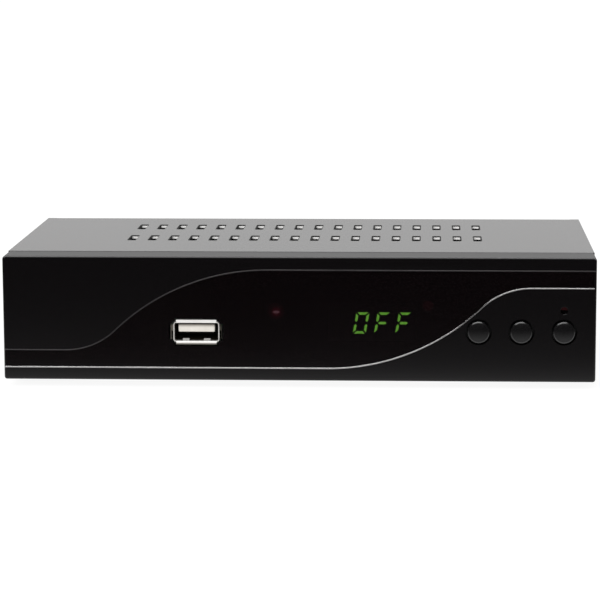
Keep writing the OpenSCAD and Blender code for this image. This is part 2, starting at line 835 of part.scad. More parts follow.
// Memory chips beside the processor.
module memory_chips() {
    color("#1c1d1f") seated() for (at = memory_at)
        block([at[0] - memory_w / 2, at[1] - memory_d / 2, board_top],
            [at[0] + memory_w / 2, at[1] + memory_d / 2, board_top + memory_h]);
}

// Electrolytic capacitors, each with a rolled groove near its foot.
module capacitors() {
    r = capacitor_d / 2;
    groove = 0.5;
    groove_z = 1.5;
    color("#2b2f3a") seated() for (at = capacitors_at) translate([at[0], at[1], board_top])
        rotate_extrude() polygon([
            [0, 0], [r, 0], [r, groove_z], [r - groove, groove_z + groove], [r, groove_z + 2 * groove],
            [r, capacitor_h - groove], [r - groove, capacitor_h], [0, capacitor_h]
        ]);
}

// Wound chokes of the power supply, in square shields.
module power_chokes() {
    color("#3a3b3d") seated() for (at = chokes_at) translate([at[0], at[1], board_top]) {
        block([-choke_w / 2, -choke_w / 2, 0], [choke_w / 2, choke_w / 2, choke_h - choke_core_up]);
        cylinder(d = choke_w - 2 * choke_wall, h = choke_h);
    }
}

// The row of pins that joins the two boards, in its moulded strip.
module board_header() {
    row = header_pins * header_pitch;
    pin_z = board_top + header_block / 2;
    strip_y = board_y + header_in;
    half = header_pin / 2;
    color("#17181a") seated() translate([display_x, 0, 0]) {
        block([-row / 2, strip_y, board_top], [row / 2, strip_y + header_block, board_top + header_block]);
        for (i = [0:header_pins - 1]) translate([(i - (header_pins - 1) / 2) * header_pitch, 0, pin_z])
            block([-half, front_board_y + board_t, -half], [half, strip_y + root, half]);
    }
}

// The tuner's screening can.
module tuner_can() {
    color("#b4b6b8") seated() difference() {
        block([tuner_x - tuner_w / 2, socket_back - tuner_d, board_top],
            [tuner_x + tuner_w / 2, socket_back, board_top + tuner_h]);
        for (x = [rf_in_x, rf_out_x])
            bar(x, rf_z, socket_back - rf_insulator_t, socket_back + over, rf_out_d);
    }
}

// The lid pressed over the can.
module tuner_lid() {
    color("#c2c4c6") seated() block(
        [tuner_x - tuner_w / 2 - tuner_lid_t, socket_back - tuner_d - tuner_lid_t, board_top + tuner_h],
        [tuner_x + tuner_w / 2 + tuner_lid_t, socket_back, board_top + tuner_h + tuner_lid_t]);
}

// A barrel that stands on the tuner, with a collar where it passes the rear panel.
module aerial_barrel(x, d, bore) {
    difference() {
        union() {
            bar(x, rf_z, socket_back, rf_end, d);
            bar(x, rf_z, socket_back, rear_out + collar_out, d + 2 * collar_wall);
        }
        bar(x, rf_z, socket_back - over, rf_end + over, bore);
    }
}

// The aerial input: a plain socket tube.
module rf_in_socket() {
    color("#c9cbcc") seated() aerial_barrel(rf_in_x, rf_in_d, rf_in_bore);
}

// White insulator at the root of the aerial input.
module rf_in_insulator() {
    color("#e8e6e0") seated() tube(rf_in_x, rf_z, socket_back - rf_insulator_t, socket_back + rf_insulator_t,
        rf_out_d - 2 * insulator_play, rf_pin_d + 2 * rf_contact_wall);
}

// The split spring contact in the middle of the aerial input.
module rf_in_contact() {
    d = rf_pin_d + 2 * rf_contact_wall;
    tip_y = rf_end - rf_contact_in;
    slit_l = 4;
    slit_w = 0.5;
    color("#cdb06a") seated() difference() {
        tube(rf_in_x, rf_z, socket_back - rf_insulator_t, tip_y, d, rf_pin_d);
        block([rf_in_x - d, tip_y - slit_l, rf_z - slit_w / 2],
            [rf_in_x + d, tip_y + over, rf_z + slit_w / 2]);
    }
}

// The aerial output: the barrel that a plug is pushed over.
module rf_out_plug() {
    color("#c9cbcc") seated() aerial_barrel(rf_out_x, rf_out_d, rf_out_d - 2 * rf_out_wall);
}

// White insulator at the root of the aerial output.
module rf_out_insulator() {
    color("#e8e6e0") seated() tube(rf_out_x, rf_z, socket_back - rf_insulator_t, socket_back + rf_insulator_t,
        rf_out_d - 2 * rf_out_wall - 2 * insulator_play, rf_pin_d);
}

// The centre pin of the aerial output, with a rounded tip.
module rf_out_pin() {
    r = rf_pin_d / 2;
    color("#cdb06a") seated() translate([rf_out_x, socket_back - rf_insulator_t, rf_z]) rotate([-90, 0, 0])
        union() {
            cylinder(r = r, h = rf_insulator_t + rf_end - socket_back - r);
            translate([0, 0, rf_insulator_t + rf_end - socket_back - r]) sphere(r = r);
        }
}

// The mouth of the digital video socket: a wide top and a bottom drawn in at its corners.
module hdmi_outline(inset) {
    half = hdmi_w / 2 - inset;
    low = board_top + inset;
    high = board_top + hdmi_h - inset;
    corner_w = 1.6;
    corner_h = 2.4;
    translate([hdmi_x, 0]) polygon([
        [-half, high], [-half, low + corner_h], [-half + corner_w, low],
        [half - corner_w, low], [half, low + corner_h], [half, high]
    ]);
}

// The pressed shell of the digital video socket.
module hdmi_shell() {
    color("#c7c9ca") seated() plate(hdmi_end - hdmi_l, hdmi_l) difference() {
        hdmi_outline(0);
        hdmi_outline(hdmi_t);
    }
}

// The insulator at the back of the digital video socket, with its contact tongue.
module hdmi_tongue() {
    half = hdmi_w / 2 - hdmi_tongue_side;
    low = board_top + hdmi_h / 2;
    wall_t = 3;
    wall_y = hdmi_end - hdmi_l;
    color("#19191b") seated() {
        plate(wall_y, wall_t) hdmi_outline(hdmi_t + insulator_play);
        block([hdmi_x - half, wall_y + wall_t - root, low],
            [hdmi_x + half, hdmi_end - hdmi_tongue_in, low + hdmi_tongue_t]);
    }
}

// The moulded base of the digital sound socket.
module coax_base() {
    color("#1b1b1d") seated() difference() {
        union() {
            block([coax_x - coax_w / 2, socket_back - coax_w, board_top],
                [coax_x + coax_w / 2, socket_back, board_top + coax_w + coax_up]);
            bar(coax_x, coax_z, socket_back - over, rear_out + collar_out, coax_d + 2 * collar_wall);
        }
        bar(coax_x, coax_z, coax_root, rear_out + over, coax_root_d + 2 * thread_play);
    }
}

// The plated barrel of the digital sound socket.
module coax_barrel() {
    color("#cccdcf") seated() difference() {
        union() {
            bar(coax_x, coax_z, rear_out + collar_out, coax_end, coax_d);
            bar(coax_x, coax_z, coax_root, coax_end, coax_root_d);
        }
        bar(coax_x, coax_z, coax_root - over, coax_end + over, coax_bore);
    }
}

// The coloured insulator inside that barrel.
module coax_insulator() {
    color("#d8791f") seated() tube(coax_x, coax_z, coax_root, coax_end - coax_wall,
        coax_bore - 2 * insulator_play, coax_hole_d);
}

// The mouth of the wide audio and video socket, with one slanted end, grown by grow.
module scart_outline(grow) {
    half = scart_w / 2 + grow;
    low = scart_z - scart_h / 2 - grow;
    high = scart_z + scart_h / 2 + grow;
    slant = 5;
    translate([scart_x, 0]) polygon([
        [-half, low], [half - slant, low], [half, low + slant], [half, high], [-half, high]
    ]);
}

// The slots for its two rows of contacts, grown by grow.
module scart_slots(grow) {
    slot_w = 1;
    slot_h = 3.2;
    for (row = [-1, 1], i = [0:scart_count - 1])
        translate([
            scart_x + (i - (scart_count - 1) / 2 + row / 4) * scart_pitch,
            scart_z + row * scart_h / 5
        ])
        box2([-slot_w / 2 - grow, -slot_h / 2 - grow], [slot_w / 2 + grow, slot_h / 2 + grow]);
}

// The moulded housing of the wide audio and video socket.
module scart_housing() {
    mouth_y = socket_back - over;
    color("#18181a") seated() difference() {
        union() {
            plate(mouth_y, scart_end - mouth_y) scart_outline(0);
            block([scart_x - scart_w / 2, rear_in - scart_l, board_top],
                [scart_x + scart_w / 2, socket_back, scart_z + scart_h / 2 + scart_roof]);
        }
        plate(scart_floor, scart_deep + over) scart_outline(-scart_wall);
        plate(scart_floor - scart_slot_deep, scart_slot_deep + over) scart_slots(0);
    }
}

// Spring contacts down in the housing's slots.
module scart_contacts() {
    tip_in = 0.5;
    slot_play = 0.25;
    color("#c9b06c") seated() plate(scart_floor - scart_slot_deep, scart_slot_deep - tip_in)
        scart_slots(-slot_play);
}

// The moulded power socket.
module dc_jack() {
    color("#161617") seated() difference() {
        block([dc_x - dc_w / 2, rear_out - dc_l, board_top], [dc_x + dc_w / 2, dc_end, board_top + dc_h]);
        bar(dc_x, dc_z, dc_floor, dc_end + over, dc_bore);
    }
}

// The centre pin of the power socket.
module dc_pin() {
    color("#cfd0d1") seated() bar(dc_x, dc_z, dc_floor, dc_end - dc_pin_in, dc_pin_d);
}

// The pressed shell of the USB socket, with flared lips over and under its mouth, a tab punched out of
// each side and two springs in its floor.
module usb_shell() {
    outer_r = usb_corner_r;
    inner_r = usb_corner_r - usb_t;
    half = [usb_w / 2, usb_h / 2];
    wall = [usb_t, usb_t];
    side_h = usb_h - 2 * outer_r;
    spring_x = 3;
    spring_w = 1.9;
    spring_start = usb_lip_y + 0.4;
    spring_peak = usb_lip_y + 1.3;
    spring_end = usb_lip_y + 3.5;
    spring_up = 0.6;
    color("#d3d4d5") seated() translate([usb_x, 0, usb_z]) {
        difference() {
            plate(usb_lip_y, usb_back - usb_lip_y) difference() {
                round_box2(-half, half, outer_r, outer_r);
                round_box2(-half + wall, half - wall, inner_r, inner_r);
            }
            block([-usb_w, usb_lip_y + usb_strip, -side_h / 2], [usb_w, usb_side_lip_y, side_h / 2]);
        }
        for (turn = [0, 180]) rotate([0, turn, 0]) {
            swept(usb_w - 2 * outer_r) usb_lip(half[1], usb_lip_y, usb_flare);
            rotate([0, 90, 0]) swept(side_h) usb_lip(half[0], usb_side_lip_y, usb_side_flare);
        }
        for (side = [-1, 1]) translate([side * spring_x, 0, -half[1] + usb_t]) swept(spring_w)
            polygon([[spring_start, -usb_t / 2], [spring_peak, spring_up], [spring_end, -usb_t / 2]]);
    }
}

// Section of a lip that leaves the shell at start_y, at a distance up from the socket's middle, and
// stands out from it by flare.
module usb_lip(up, start_y, flare) {
    along = [usb_recess - start_y, flare + usb_t];
    // Distance from the lip's front face to its back face, measured front to back
    thick = usb_t * norm(along) / along[1];
    polygon([
        [start_y, up - usb_t], [usb_recess, up + flare], [usb_recess + thick, up + flare],
        [start_y + thick + along[0] * usb_t / along[1], up]
    ]);
}

// The white insulator of the USB socket: a rear wall and the tongue in the upper half of the mouth.
module usb_tongue() {
    half = usb_inner / 2 - [insulator_play, insulator_play];
    wall_r = usb_corner_r - usb_t;
    wall_y = usb_back - usb_wall_t;
    color("#ece9e2") seated() translate([usb_x, 0, usb_z]) {
        plate(wall_y, usb_wall_t) round_box2(-half, half, wall_r, wall_r);
        block([-usb_tongue_w / 2, usb_recess + usb_tongue_in, usb_tongue_top - usb_tongue_t],
            [usb_tongue_w / 2, wall_y + root, usb_tongue_top]);
    }
}

// Four contact strips under the tongue.
module usb_contacts() {
    low = usb_tongue_top - usb_tongue_t;
    strip_xs = [-3.5, -1, 1, 3.5];
    strip_w = 1;
    strip_t = 0.15;
    strip_y = usb_recess + usb_tongue_in + strip_w;
    color("#d2b465") seated() translate([usb_x, 0, usb_z]) for (x = strip_xs)
        block([x - strip_w / 2, strip_y, low - strip_t], [x + strip_w / 2, usb_back - usb_wall_t, low]);
}

// The moulded front: a shell open at the back, with the S-shaped recess for the lens, the windows
// behind it, the button holes with their guide sleeves, the bosses for the front board and two
// tabs that the tray is screwed to.
module front_panel() {
    color("#161516") seated() difference() {
        union() {
            difference() {
                panel_block();
                block([-half_w + rim_wall, panel_wall, rim_wall],
                    [half_w - rim_wall, panel_d + tongue_l + over, case_h - rim_wall]);
            }
            for (x = button_xs)
                bar(x, button_z, panel_wall - root, panel_wall + sleeve_l, sleeve_bore + 2 * sleeve_wall);
            for (x = boss_xs, z = boss_zs) bar(x, z, panel_wall - root, front_board_y, boss_d);
            for (side = [-1, 1]) translate([side * panel_screw_x, 0, base_t + sheet_gap]) {
                block([-tab_w / 2, panel_d - rim_wall, 0],
                    [tab_w / 2, tab_back, rim_wall - base_t - sheet_gap]);
                block([-tab_w / 2, panel_d + front_board_in, 0], [tab_w / 2, tab_back, tab_h]);
            }
        }
        plate(-over, lens_t + over) between(
            lower_line(-lower_stripe_w / 2 - trim_gap, band_end_x),
            upper_line(upper_stripe_w / 2 + trim_gap, band_end_x));
        for (x = button_xs) {
            bar(x, button_z, -over, panel_wall + over, button_d + 2 * button_gap);
            bar(x, button_z, panel_wall, panel_wall + sleeve_l + over, sleeve_bore);
        }
        bar(lamp_x, lamp_z, -over, panel_wall + over, lamp_hole_d);
        bar(signal_x, signal_z, 0, panel_wall + over, lamp_d + 2 * lamp_gap);
        bar(remote_x, remote_z, 0, panel_wall + over, remote_window_d + 2 * lamp_gap);
        plate(0, panel_wall + over) {
            display_shape(display_play);
            usb_window_shape();
        }
        for (x = boss_xs, z = boss_zs)
            bar(x, z, panel_wall, front_board_y + over, small_screw_d + 2 * thread_play);
        for (side = [-1, 1]) translate([side * panel_screw_x, panel_screw_y, 0])
            cylinder(d = screw_d + 2 * thread_play, h = screw_l + thread_end);
    }
}

// The outside of the moulding, with its rounded edges, its sloping top and the stepped tongue behind.
module panel_block() {
    intersection() {
        plate(0, panel_d) round_box2([-half_w, 0], [half_w, top_z], bottom_corner_r, top_corner_r);
        swept(case_w) polygon(concat(
            arc([front_edge_r, front_edge_r], front_edge_r, 180, 270),
            [[panel_d, 0], [panel_d, top_z]],
            arc([front_edge_r, case_h - front_edge_r], front_edge_r, 90, 180)
        ));
        linear_extrude(top_z) polygon(concat(
            arc([-half_w + front_edge_r, front_edge_r], front_edge_r, 180, 270),
            arc([half_w - front_edge_r, front_edge_r], front_edge_r, 270, 360),
            [[half_w, panel_d], [-half_w, panel_d]]
        ));
    }
    plate(panel_d - over, over + tongue_l) difference() {
        box2([-inner_w, flange_h + tongue_gap], [inner_w, under_cover]);
        box2([-half_w + rim_wall, 0], [half_w - rim_wall, case_h - rim_wall]);
    }
}

// The window for the USB socket: the outline of its shell, lips and tabs, with play all round.
module usb_window_shape() {
    r = usb_corner_r + usb_gap;
    turn = asin(usb_gap / r);
    middle = [usb_w / 2 - usb_corner_r, usb_h / 2 - usb_corner_r];
    quarter = concat(
        [[usb_w / 2 + usb_side_flare + usb_gap, middle[1] + usb_gap]],
        arc(middle, r, turn, 90 - turn),
        [[middle[0] + usb_gap, usb_h / 2 + usb_flare + usb_gap]]
    );
    back = [for (i = [len(quarter) - 1:-1:0]) quarter[i]];
    translate([usb_x, usb_z]) polygon(concat(
        quarter,
        [for (p = back) [-p[0], p[1]]],
        [for (p = quarter) -p],
        [for (p = back) [p[0], -p[1]]]
    ));
}

// The face of the display's case, grown by grow.
module display_shape(grow) {
    half = [display_w / 2 + grow, display_h / 2 + grow];
    middle = [display_x, display_z];
    box2(middle - half, middle + half);
}

// The smoked lens that fills the band between the stripes.
module display_lens() {
    color("#0c0a0b") seated() plate(0, lens_t) difference() {
        between(
            lower_line(lower_stripe_w / 2 + trim_gap, trim_end_x),
            upper_line(-upper_stripe_w / 2 - trim_gap, trim_end_x));
        usb_window_shape();
    }
}

// The dim stripe along the lens's upper edge.
module upper_stripe() {
    color("#6f6c6d") seated() plate(-stripe_proud, lens_t + stripe_proud)
        between(upper_line(-upper_stripe_w / 2, trim_end_x), upper_line(upper_stripe_w / 2, trim_end_x));
}

// The bright stripe along the lens's lower edge.
module lower_stripe() {
    color("#c9c6c6") seated() plate(-stripe_proud, lens_t + stripe_proud)
        between(lower_line(-lower_stripe_w / 2, trim_end_x), lower_line(lower_stripe_w / 2, trim_end_x));
}

// Screws from under the tray into the front moulding.
module panel_screws() {
    color("#c6c7c8") seated() for (side = [-1, 1]) translate([side * panel_screw_x, panel_screw_y, 0])
        rotate([90, 0, 0]) screw(0, 0, 0, screw_d, screw_head_d, screw_head_h, screw_l);
}

// The circuit board behind the front.
module front_board() {
    color("#245c38") seated() difference() {
        block([front_board_x, front_board_y, front_board_low],
            [front_board_right, front_board_y + board_t, front_board_high]);
        for (x = boss_xs, z = boss_zs)
            bar(x, z, front_board_y - over, front_board_y + board_t + over, small_screw_d + 2 * screw_play);
    }
}

// Screws that hold the front board on its bosses.
module front_board_screws() {
    color("#c6c7c8") seated() for (x = boss_xs, z = boss_zs)
        translate([0, 2 * (front_board_y + board_t), 0]) mirror([0, 1, 0])
            screw(x, z, front_board_y + board_t, small_screw_d, small_head_d, small_head_h,
                board_t + small_screw_l);
}

// The moulded case of the display.
module display_module() {
    color("#1a1a1b") seated() plate(display_y, front_board_y - display_y) display_shape(0);
}

// Outline of one segment of an upright digit. Segments run clockwise from the top, and the seventh is
// the middle one. The outer six meet on mitred corners, and the middle one has pointed ends.
module segment(index) {
    right = digit_w / 2;
    top = digit_h / 2;
    w = segment_w;
    g = segment_gap;
    flat = [[-right + g, top], [right - g, top], [right - w - g, top - w], [-right + w + g, top - w]];
    upright = [
        [right, top - g], [right, w / 2 + g], [right - w / 2, g],
        [right - w, w / 2 + g], [right - w, top - w - g]
    ];
    middle = [
        [right - w / 2 - g, 0], [right - w - g, w / 2], [-right + w + g, w / 2],
        [-right + w / 2 + g, 0], [-right + w + g, -w / 2], [right - w - g, -w / 2]
    ];
    outline = [flat, upright, upright, flat, upright, upright, middle][index];
    sides = [[1, 1], [1, 1], [1, -1], [1, -1], [-1, -1], [-1, 1], [1, 1]][index];
    polygon([for (p = outline) [sides[0] * p[0], sides[1] * p[1]]]);
}

// Chosen segments of each digit, slanted, on the display's face. The points are never lit.
module segments(lit) {
    // Segments that are on, digit by digit from the left
    shown = [[], [0, 1, 2, 3, 4, 5], [0, 4, 5, 6], [0, 4, 5, 6]];
    lean = tan(digit_slant);
    slanted = [[1, lean, 0, 0], [0, 1, 0, 0], [0, 0, 1, 0], [0, 0, 0, 1]];
    point_z = -digit_h / 2 - point_drop;
    for (digit = [0:digit_count - 1])
        translate([display_x + (digit - (digit_count - 1) / 2) * digit_pitch, 0, display_z])
            plate(display_y - segment_t, segment_t) {
                for (index = [0:6])
                    if ((len(search(index, shown[digit])) > 0) == lit) multmatrix(slanted) segment(index);
                if (!lit) translate([digit_w / 2 + lean * point_z, point_z]) circle(d = point_d);
            }
}

// The segments that are on.
module lit_segments() {
    color("#6cb03a") seated() segments(true);
}

// The segments and points that are off.
module unlit_segments() {
    color("#242625") seated() segments(false);
}

// The infrared receiver, with its round window.
module remote_receiver() {
    face_y = front_board_y - remote_d;
    color("#2a1416") seated() union() {
        block([remote_x - remote_w / 2, face_y, remote_z - remote_h / 2],
            [remote_x + remote_w / 2, front_board_y, remote_z + remote_h / 2]);
        bar(remote_x, remote_z, lens_t + remote_in, face_y + root, remote_window_d);
    }
}

// A lamp: a collar on the board and a domed body that ends at tip_y.
module lamp(x, z, tip_y) {
    r = lamp_d / 2;
    collar_l = 1;
    translate([x, front_board_y, z]) rotate([90, 0, 0]) union() {
        cylinder(r = r + lamp_collar, h = collar_l);
        cylinder(r = r, h = front_board_y - tip_y - r);
        translate([0, 0, front_board_y - tip_y - r]) sphere(r = r);
    }
}

// The lamp behind the hole over the last button.
module standby_lamp() {
    color("#5a1a1a") seated() lamp(lamp_x, lamp_z, lamp_y);
}

// The lamp behind the lens.
module signal_lamp() {
    color("#5a1a1a") seated() lamp(signal_x, signal_z, lens_t + signal_in);
}

// The case of a push switch, with the well that its plunger runs in.
module push_switch(i) {
    half = switch_w / 2;
    well_end = plunger_y + plunger_out + plunger_in + button_travel + plunger_end;
    color("#1d1d1f") seated() difference() {
        block([button_xs[i] - half, front_board_y - switch_h, button_z - half],
            [button_xs[i] + half, front_board_y, button_z + half]);
        bar(button_xs[i], button_z, front_board_y - switch_h - over, well_end, plunger_d + 2 * plunger_gap);
    }
}

module switch_left() { push_switch(0); }
module switch_middle() { push_switch(1); }
module switch_right() { push_switch(2); }

// The plunger of a push switch.
module plunger(i) {
    color("#8c8c8a") seated()
        bar(button_xs[i], button_z, plunger_y, plunger_y + plunger_out + plunger_in, plunger_d);
}

module plunger_left() { plunger(0); }
module plunger_middle() { plunger(1); }
module plunger_right() { plunger(2); }

// A button: a crowned face with a rounded rim, a flange that keeps it in, and a stem on the plunger.
module push_button(i) {
    r = button_d / 2;
    rim_x = r - button_rim_r;
    crown_r = (rim_x * rim_x + button_crown * button_crown) / (2 * button_crown);
    crown_turn = asin(rim_x / crown_r);
    rim_up = button_proud - button_crown - button_rim_r;
    stem_r = stem_d / 2;
    flange_r = button_flange_d / 2;
    color("#1b1a1b") seated() translate([button_xs[i], 0, button_z]) rotate([90, 0, 0])
        rotate_extrude() polygon(concat(
            [[0, -plunger_y], [stem_r, -plunger_y], [stem_r, -flange_y - flange_t]],
            [[flange_r, -flange_y - flange_t], [flange_r, -flange_y], [r, -flange_y]],
            arc([rim_x, rim_up], button_rim_r, 0, 90 - crown_turn),
            arc([0, button_proud - crown_r], crown_r, 90 - crown_turn, 90)
        ));
}

module button_left() { push_button(0); }
module button_middle() { push_button(1); }
module button_right() { push_button(2); }

// The cover: top and sides folded from one sheet, a lip folded down over the rear panel and two
// rows of slots.
module top_cover() {
    inner_r = bend_r - cover_t;
    color("#2b292a") seated() difference() {
        union() {
            plate(cover_y, case_d - cover_y) difference() {
                round_box2([-half_w, 0], [half_w, top_z], 0, bend_r);
                round_box2([-half_w + cover_t, -over], [half_w - cover_t, top_z - cover_t], 0, inner_r);
            }
            plate(case_d - cover_t, cover_t)
                box2([-half_w + 2 * bend_r, top_z - lip_h], [half_w - 2 * bend_r, top_z - cover_t / 2]);
        }
        for (row = [0, 1])
            slots(vent_count, vent_y + row * vent_row, vent_l, top_z - cover_t - over, top_z + over);
        plate(case_d - cover_t - over, cover_t + 2 * over) scart_outline(cutout_gap);
        for (side = [-1, 1])
            bar(side * cover_screw_x, cover_screw_z, case_d - cover_t - over, case_d + over,
                screw_d + 2 * screw_play);
    }
}

// Screws through the cover's lip into the rear panel.
module cover_screws() {
    color("#2a2a2b") seated() for (side = [-1, 1])
        translate([0, 2 * case_d, 0]) mirror([0, 1, 0])
            screw(side * cover_screw_x, cover_screw_z, case_d, screw_d, screw_head_d, screw_head_h, screw_l);
}

base_chassis();
foot_front_left();
foot_front_right();
foot_rear_left();
foot_rear_right();
board_standoffs();
main_board();
board_screws();
main_processor();
heat_sink();
memory_chips();
capacitors();
power_chokes();
board_header();
tuner_can();
tuner_lid();
rf_in_socket();
rf_in_insulator();
rf_in_contact();
rf_out_plug();
rf_out_insulator();
rf_out_pin();
hdmi_shell();
hdmi_tongue();
coax_base();
coax_barrel();
coax_insulator();
scart_housing();
scart_contacts();
dc_jack();
dc_pin();
usb_shell();
usb_tongue();
usb_contacts();
front_panel();
display_lens();
upper_stripe();
lower_stripe();
panel_screws();
front_board();
front_board_screws();
display_module();
lit_segments();
unlit_segments();
remote_receiver();
standby_lamp();
signal_lamp();
switch_left();
switch_middle();
switch_right();
plunger_left();
plunger_middle();
plunger_right();
button_left();
button_middle();
button_right();
top_cover();
cover_screws();
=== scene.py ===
from math import acos, copysign, cos, hypot, pi, radians, sin, sqrt

import bmesh
import bpy
from mathutils import Matrix, Vector


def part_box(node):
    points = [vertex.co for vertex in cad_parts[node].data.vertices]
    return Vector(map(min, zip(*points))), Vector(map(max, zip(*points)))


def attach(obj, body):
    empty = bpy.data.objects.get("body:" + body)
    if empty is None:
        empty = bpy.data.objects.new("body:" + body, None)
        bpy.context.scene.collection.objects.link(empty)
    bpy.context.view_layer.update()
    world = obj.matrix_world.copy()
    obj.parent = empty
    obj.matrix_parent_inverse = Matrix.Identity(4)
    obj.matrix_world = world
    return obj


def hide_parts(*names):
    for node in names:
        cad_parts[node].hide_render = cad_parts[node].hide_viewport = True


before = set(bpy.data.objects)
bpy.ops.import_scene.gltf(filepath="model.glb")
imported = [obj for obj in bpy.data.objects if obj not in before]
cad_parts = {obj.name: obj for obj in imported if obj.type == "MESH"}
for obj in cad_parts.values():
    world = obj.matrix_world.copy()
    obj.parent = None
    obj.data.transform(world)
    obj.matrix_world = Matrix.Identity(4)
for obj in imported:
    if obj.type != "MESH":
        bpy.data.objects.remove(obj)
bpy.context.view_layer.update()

# Base tray. Zinc-plated steel sheet, blanked with its socket holes and floor slots, then folded up
# at both sides and at the back. The shears leave slightly rounded edges.
MM = 0.001
# Points this near are one, faces this level are joined, and edges sharper than this are rounded
merge_gap = 0.001 * MM
same_plane = radians(0.3)
sharp_fold = radians(40)


def linear(colour):
    """Linear red, green, blue and alpha of an sRGB colour written as #rrggbb"""
    parts = [int(colour[i:i + 2], 16) / 255 for i in (1, 3, 5)]
    return [c / 12.92 if c <= 0.04045 else ((c + 0.055) / 1.055) ** 2.4 for c in parts] + [1.0]


def add_node(tree, kind, inputs=None, **settings):
    """Adds a node with its settings, and with values or links on its inputs"""
    node = tree.nodes.new(kind)
    for name, value in settings.items():
        setattr(node, name, value)
    for name, value in (inputs or {}).items():
        if isinstance(value, bpy.types.NodeSocket):
            tree.links.new(value, node.inputs[name])
        else:
            node.inputs[name].default_value = value
    return node


def grained_finish(name, dark, light, grain, rough, bump=0.0, stretch=(1, 1, 1), **fixed):
    """A material whose colour and roughness drift between two values over grains of a given size.

    Grain and bump are in millimetres, stretch draws the grains out, and fixed holds the shader's
    other sockets. Moulded and plated grain is finer in fact, and is drawn coarse enough to show."""
    finish = bpy.data.materials.new(name)
    finish.use_nodes = True
    tree = finish.node_tree
    shader = tree.nodes["Principled BSDF"]
    for socket, value in fixed.items():
        shader.inputs[socket.replace("_", " ")].default_value = value
    place = add_node(tree, "ShaderNodeTexCoord", name="Place")
    drawn = add_node(tree, "ShaderNodeMapping", {
        "Vector": place.outputs["Object"], "Scale": [1 / s for s in stretch]})
    noise = add_node(tree, "ShaderNodeTexNoise", {
        "Vector": drawn.outputs[0], "Scale": 1 / (grain * MM), "Detail": 3.0, "Roughness": 0.6})
    spread = add_node(tree, "ShaderNodeMapRange", {
        "Value": noise.outputs[0], "From Min": 0.3, "From Max": 0.7}, name="Grain")
    shade = add_node(tree, "ShaderNodeMix", {
        0: spread.outputs[0], 6: linear(dark), 7: linear(light)}, data_type="RGBA", name="Shade")
    polish = add_node(tree, "ShaderNodeMapRange", {
        "Value": spread.outputs[0], "To Min": rough[0], "To Max": rough[1]}, name="Polish")
    tree.links.new(shade.outputs[2], shader.inputs["Base Color"])
    tree.links.new(polish.outputs[0], shader.inputs["Roughness"])
    if bump:
        relief = add_node(tree, "ShaderNodeBump", {
            "Height": noise.outputs[0], "Strength": 1.0, "Distance": bump * MM}, name="Relief")
        tree.links.new(relief.outputs[0], shader.inputs["Normal"])
    return finish


def shown(name, data):
    """Puts a mesh, a lamp or a camera in the scene"""
    piece = bpy.data.objects.new(name, data)
    bpy.context.scene.collection.objects.link(piece)
    return piece


def placed(name, mesh, finishes):
    """Puts a mesh in the scene with its finishes"""
    piece = shown(name, mesh)
    mesh.materials.clear()
    for finish in finishes:
        mesh.materials.append(finish)
    return piece


def made(shape, mesh):
    """Keeps a worked shape in a mesh"""
    shape.to_mesh(mesh)
    shape.free()
    return mesh


def rounded(piece, edge, steps):
    """Rounds a piece's sharp edges by edge, in millimetres"""
    rounding = piece.modifiers.new("rounded edges", "BEVEL")
    rounding.width = edge * MM
    rounding.segments = steps
    rounding.limit_method = "ANGLE"
    rounding.angle_limit = sharp_fold


def softened(name, node, finish, body="case", edge=0.0):
    """A copy of a solid with whole faces in place of triangles and its sharp edges rounded by edge"""
    shape = bmesh.new()
    shape.from_mesh(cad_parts[node].data)
    bmesh.ops.remove_doubles(shape, verts=shape.verts, dist=merge_gap)
    bmesh.ops.dissolve_limit(shape, angle_limit=same_plane, verts=shape.verts, edges=shape.edges)
    mesh = made(shape, bpy.data.meshes.new(name))
    mesh.shade_smooth()
    piece = placed(name, mesh, [finish])
    if edge:
        rounded(piece, edge, steps=2)
    facing = piece.modifiers.new("face normals", "WEIGHTED_NORMAL")
    facing.keep_sharp = True
    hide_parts(node)
    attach(piece, body)
    return piece


# Bright zinc plate: a cool grey metal with a soft spangle of crystals some millimetres wide
zinc_plate = grained_finish(
    "bright zinc plated steel", "#a9adb0", "#c3c6c8", grain=6.0, rough=(0.28, 0.42), Metallic=1.0)
softened("tray", "base_chassis", zinc_plate, edge=0.12)

# Feet. Four moulded rubber pucks, each with a hollow underside, stuck under the tray.
# Rubber is matt, with a fine grey bloom.
rubber = grained_finish(
    "moulded black rubber", "#151515", "#232324", grain=0.5, rough=(0.7, 0.85), bump=0.02)
for corner in ("front_left", "front_right", "rear_left", "rear_right"):
    softened("rubber_foot_" + corner, "foot_" + corner, rubber, edge=0.35)

# Standoffs. Turned steel posts, nickel plated, pressed into the tray's floor to carry the main board.
# The plating is warm and bright, with a faint mottle.


def dress(node, finish):
    """Gives a solid that is shown as it is its finish"""
    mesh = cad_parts[node].data
    mesh.materials.clear()
    mesh.materials.append(finish)


nickel_plate = grained_finish(
    "bright nickel plated steel", "#b9b4ab", "#d6d2ca", grain=1.2, rough=(0.16, 0.3), Metallic=1.0)
dress("board_standoffs", nickel_plate)

# Main board. Glass-epoxy laminate under green solder mask, with copper tracks that show as paler lines
# and tinned holes between its layers, all drawn coarse enough to show. It carries the sockets, the
# tuner and the processor.


def feed(finish, **sockets):
    """Links outputs of nodes to the sockets of a finish's shader"""
    tree = finish.node_tree
    for socket, output in sockets.items():
        tree.links.new(output, tree.nodes["Principled BSDF"].inputs[socket.replace("_", " ")])


track_pitch = 1.1
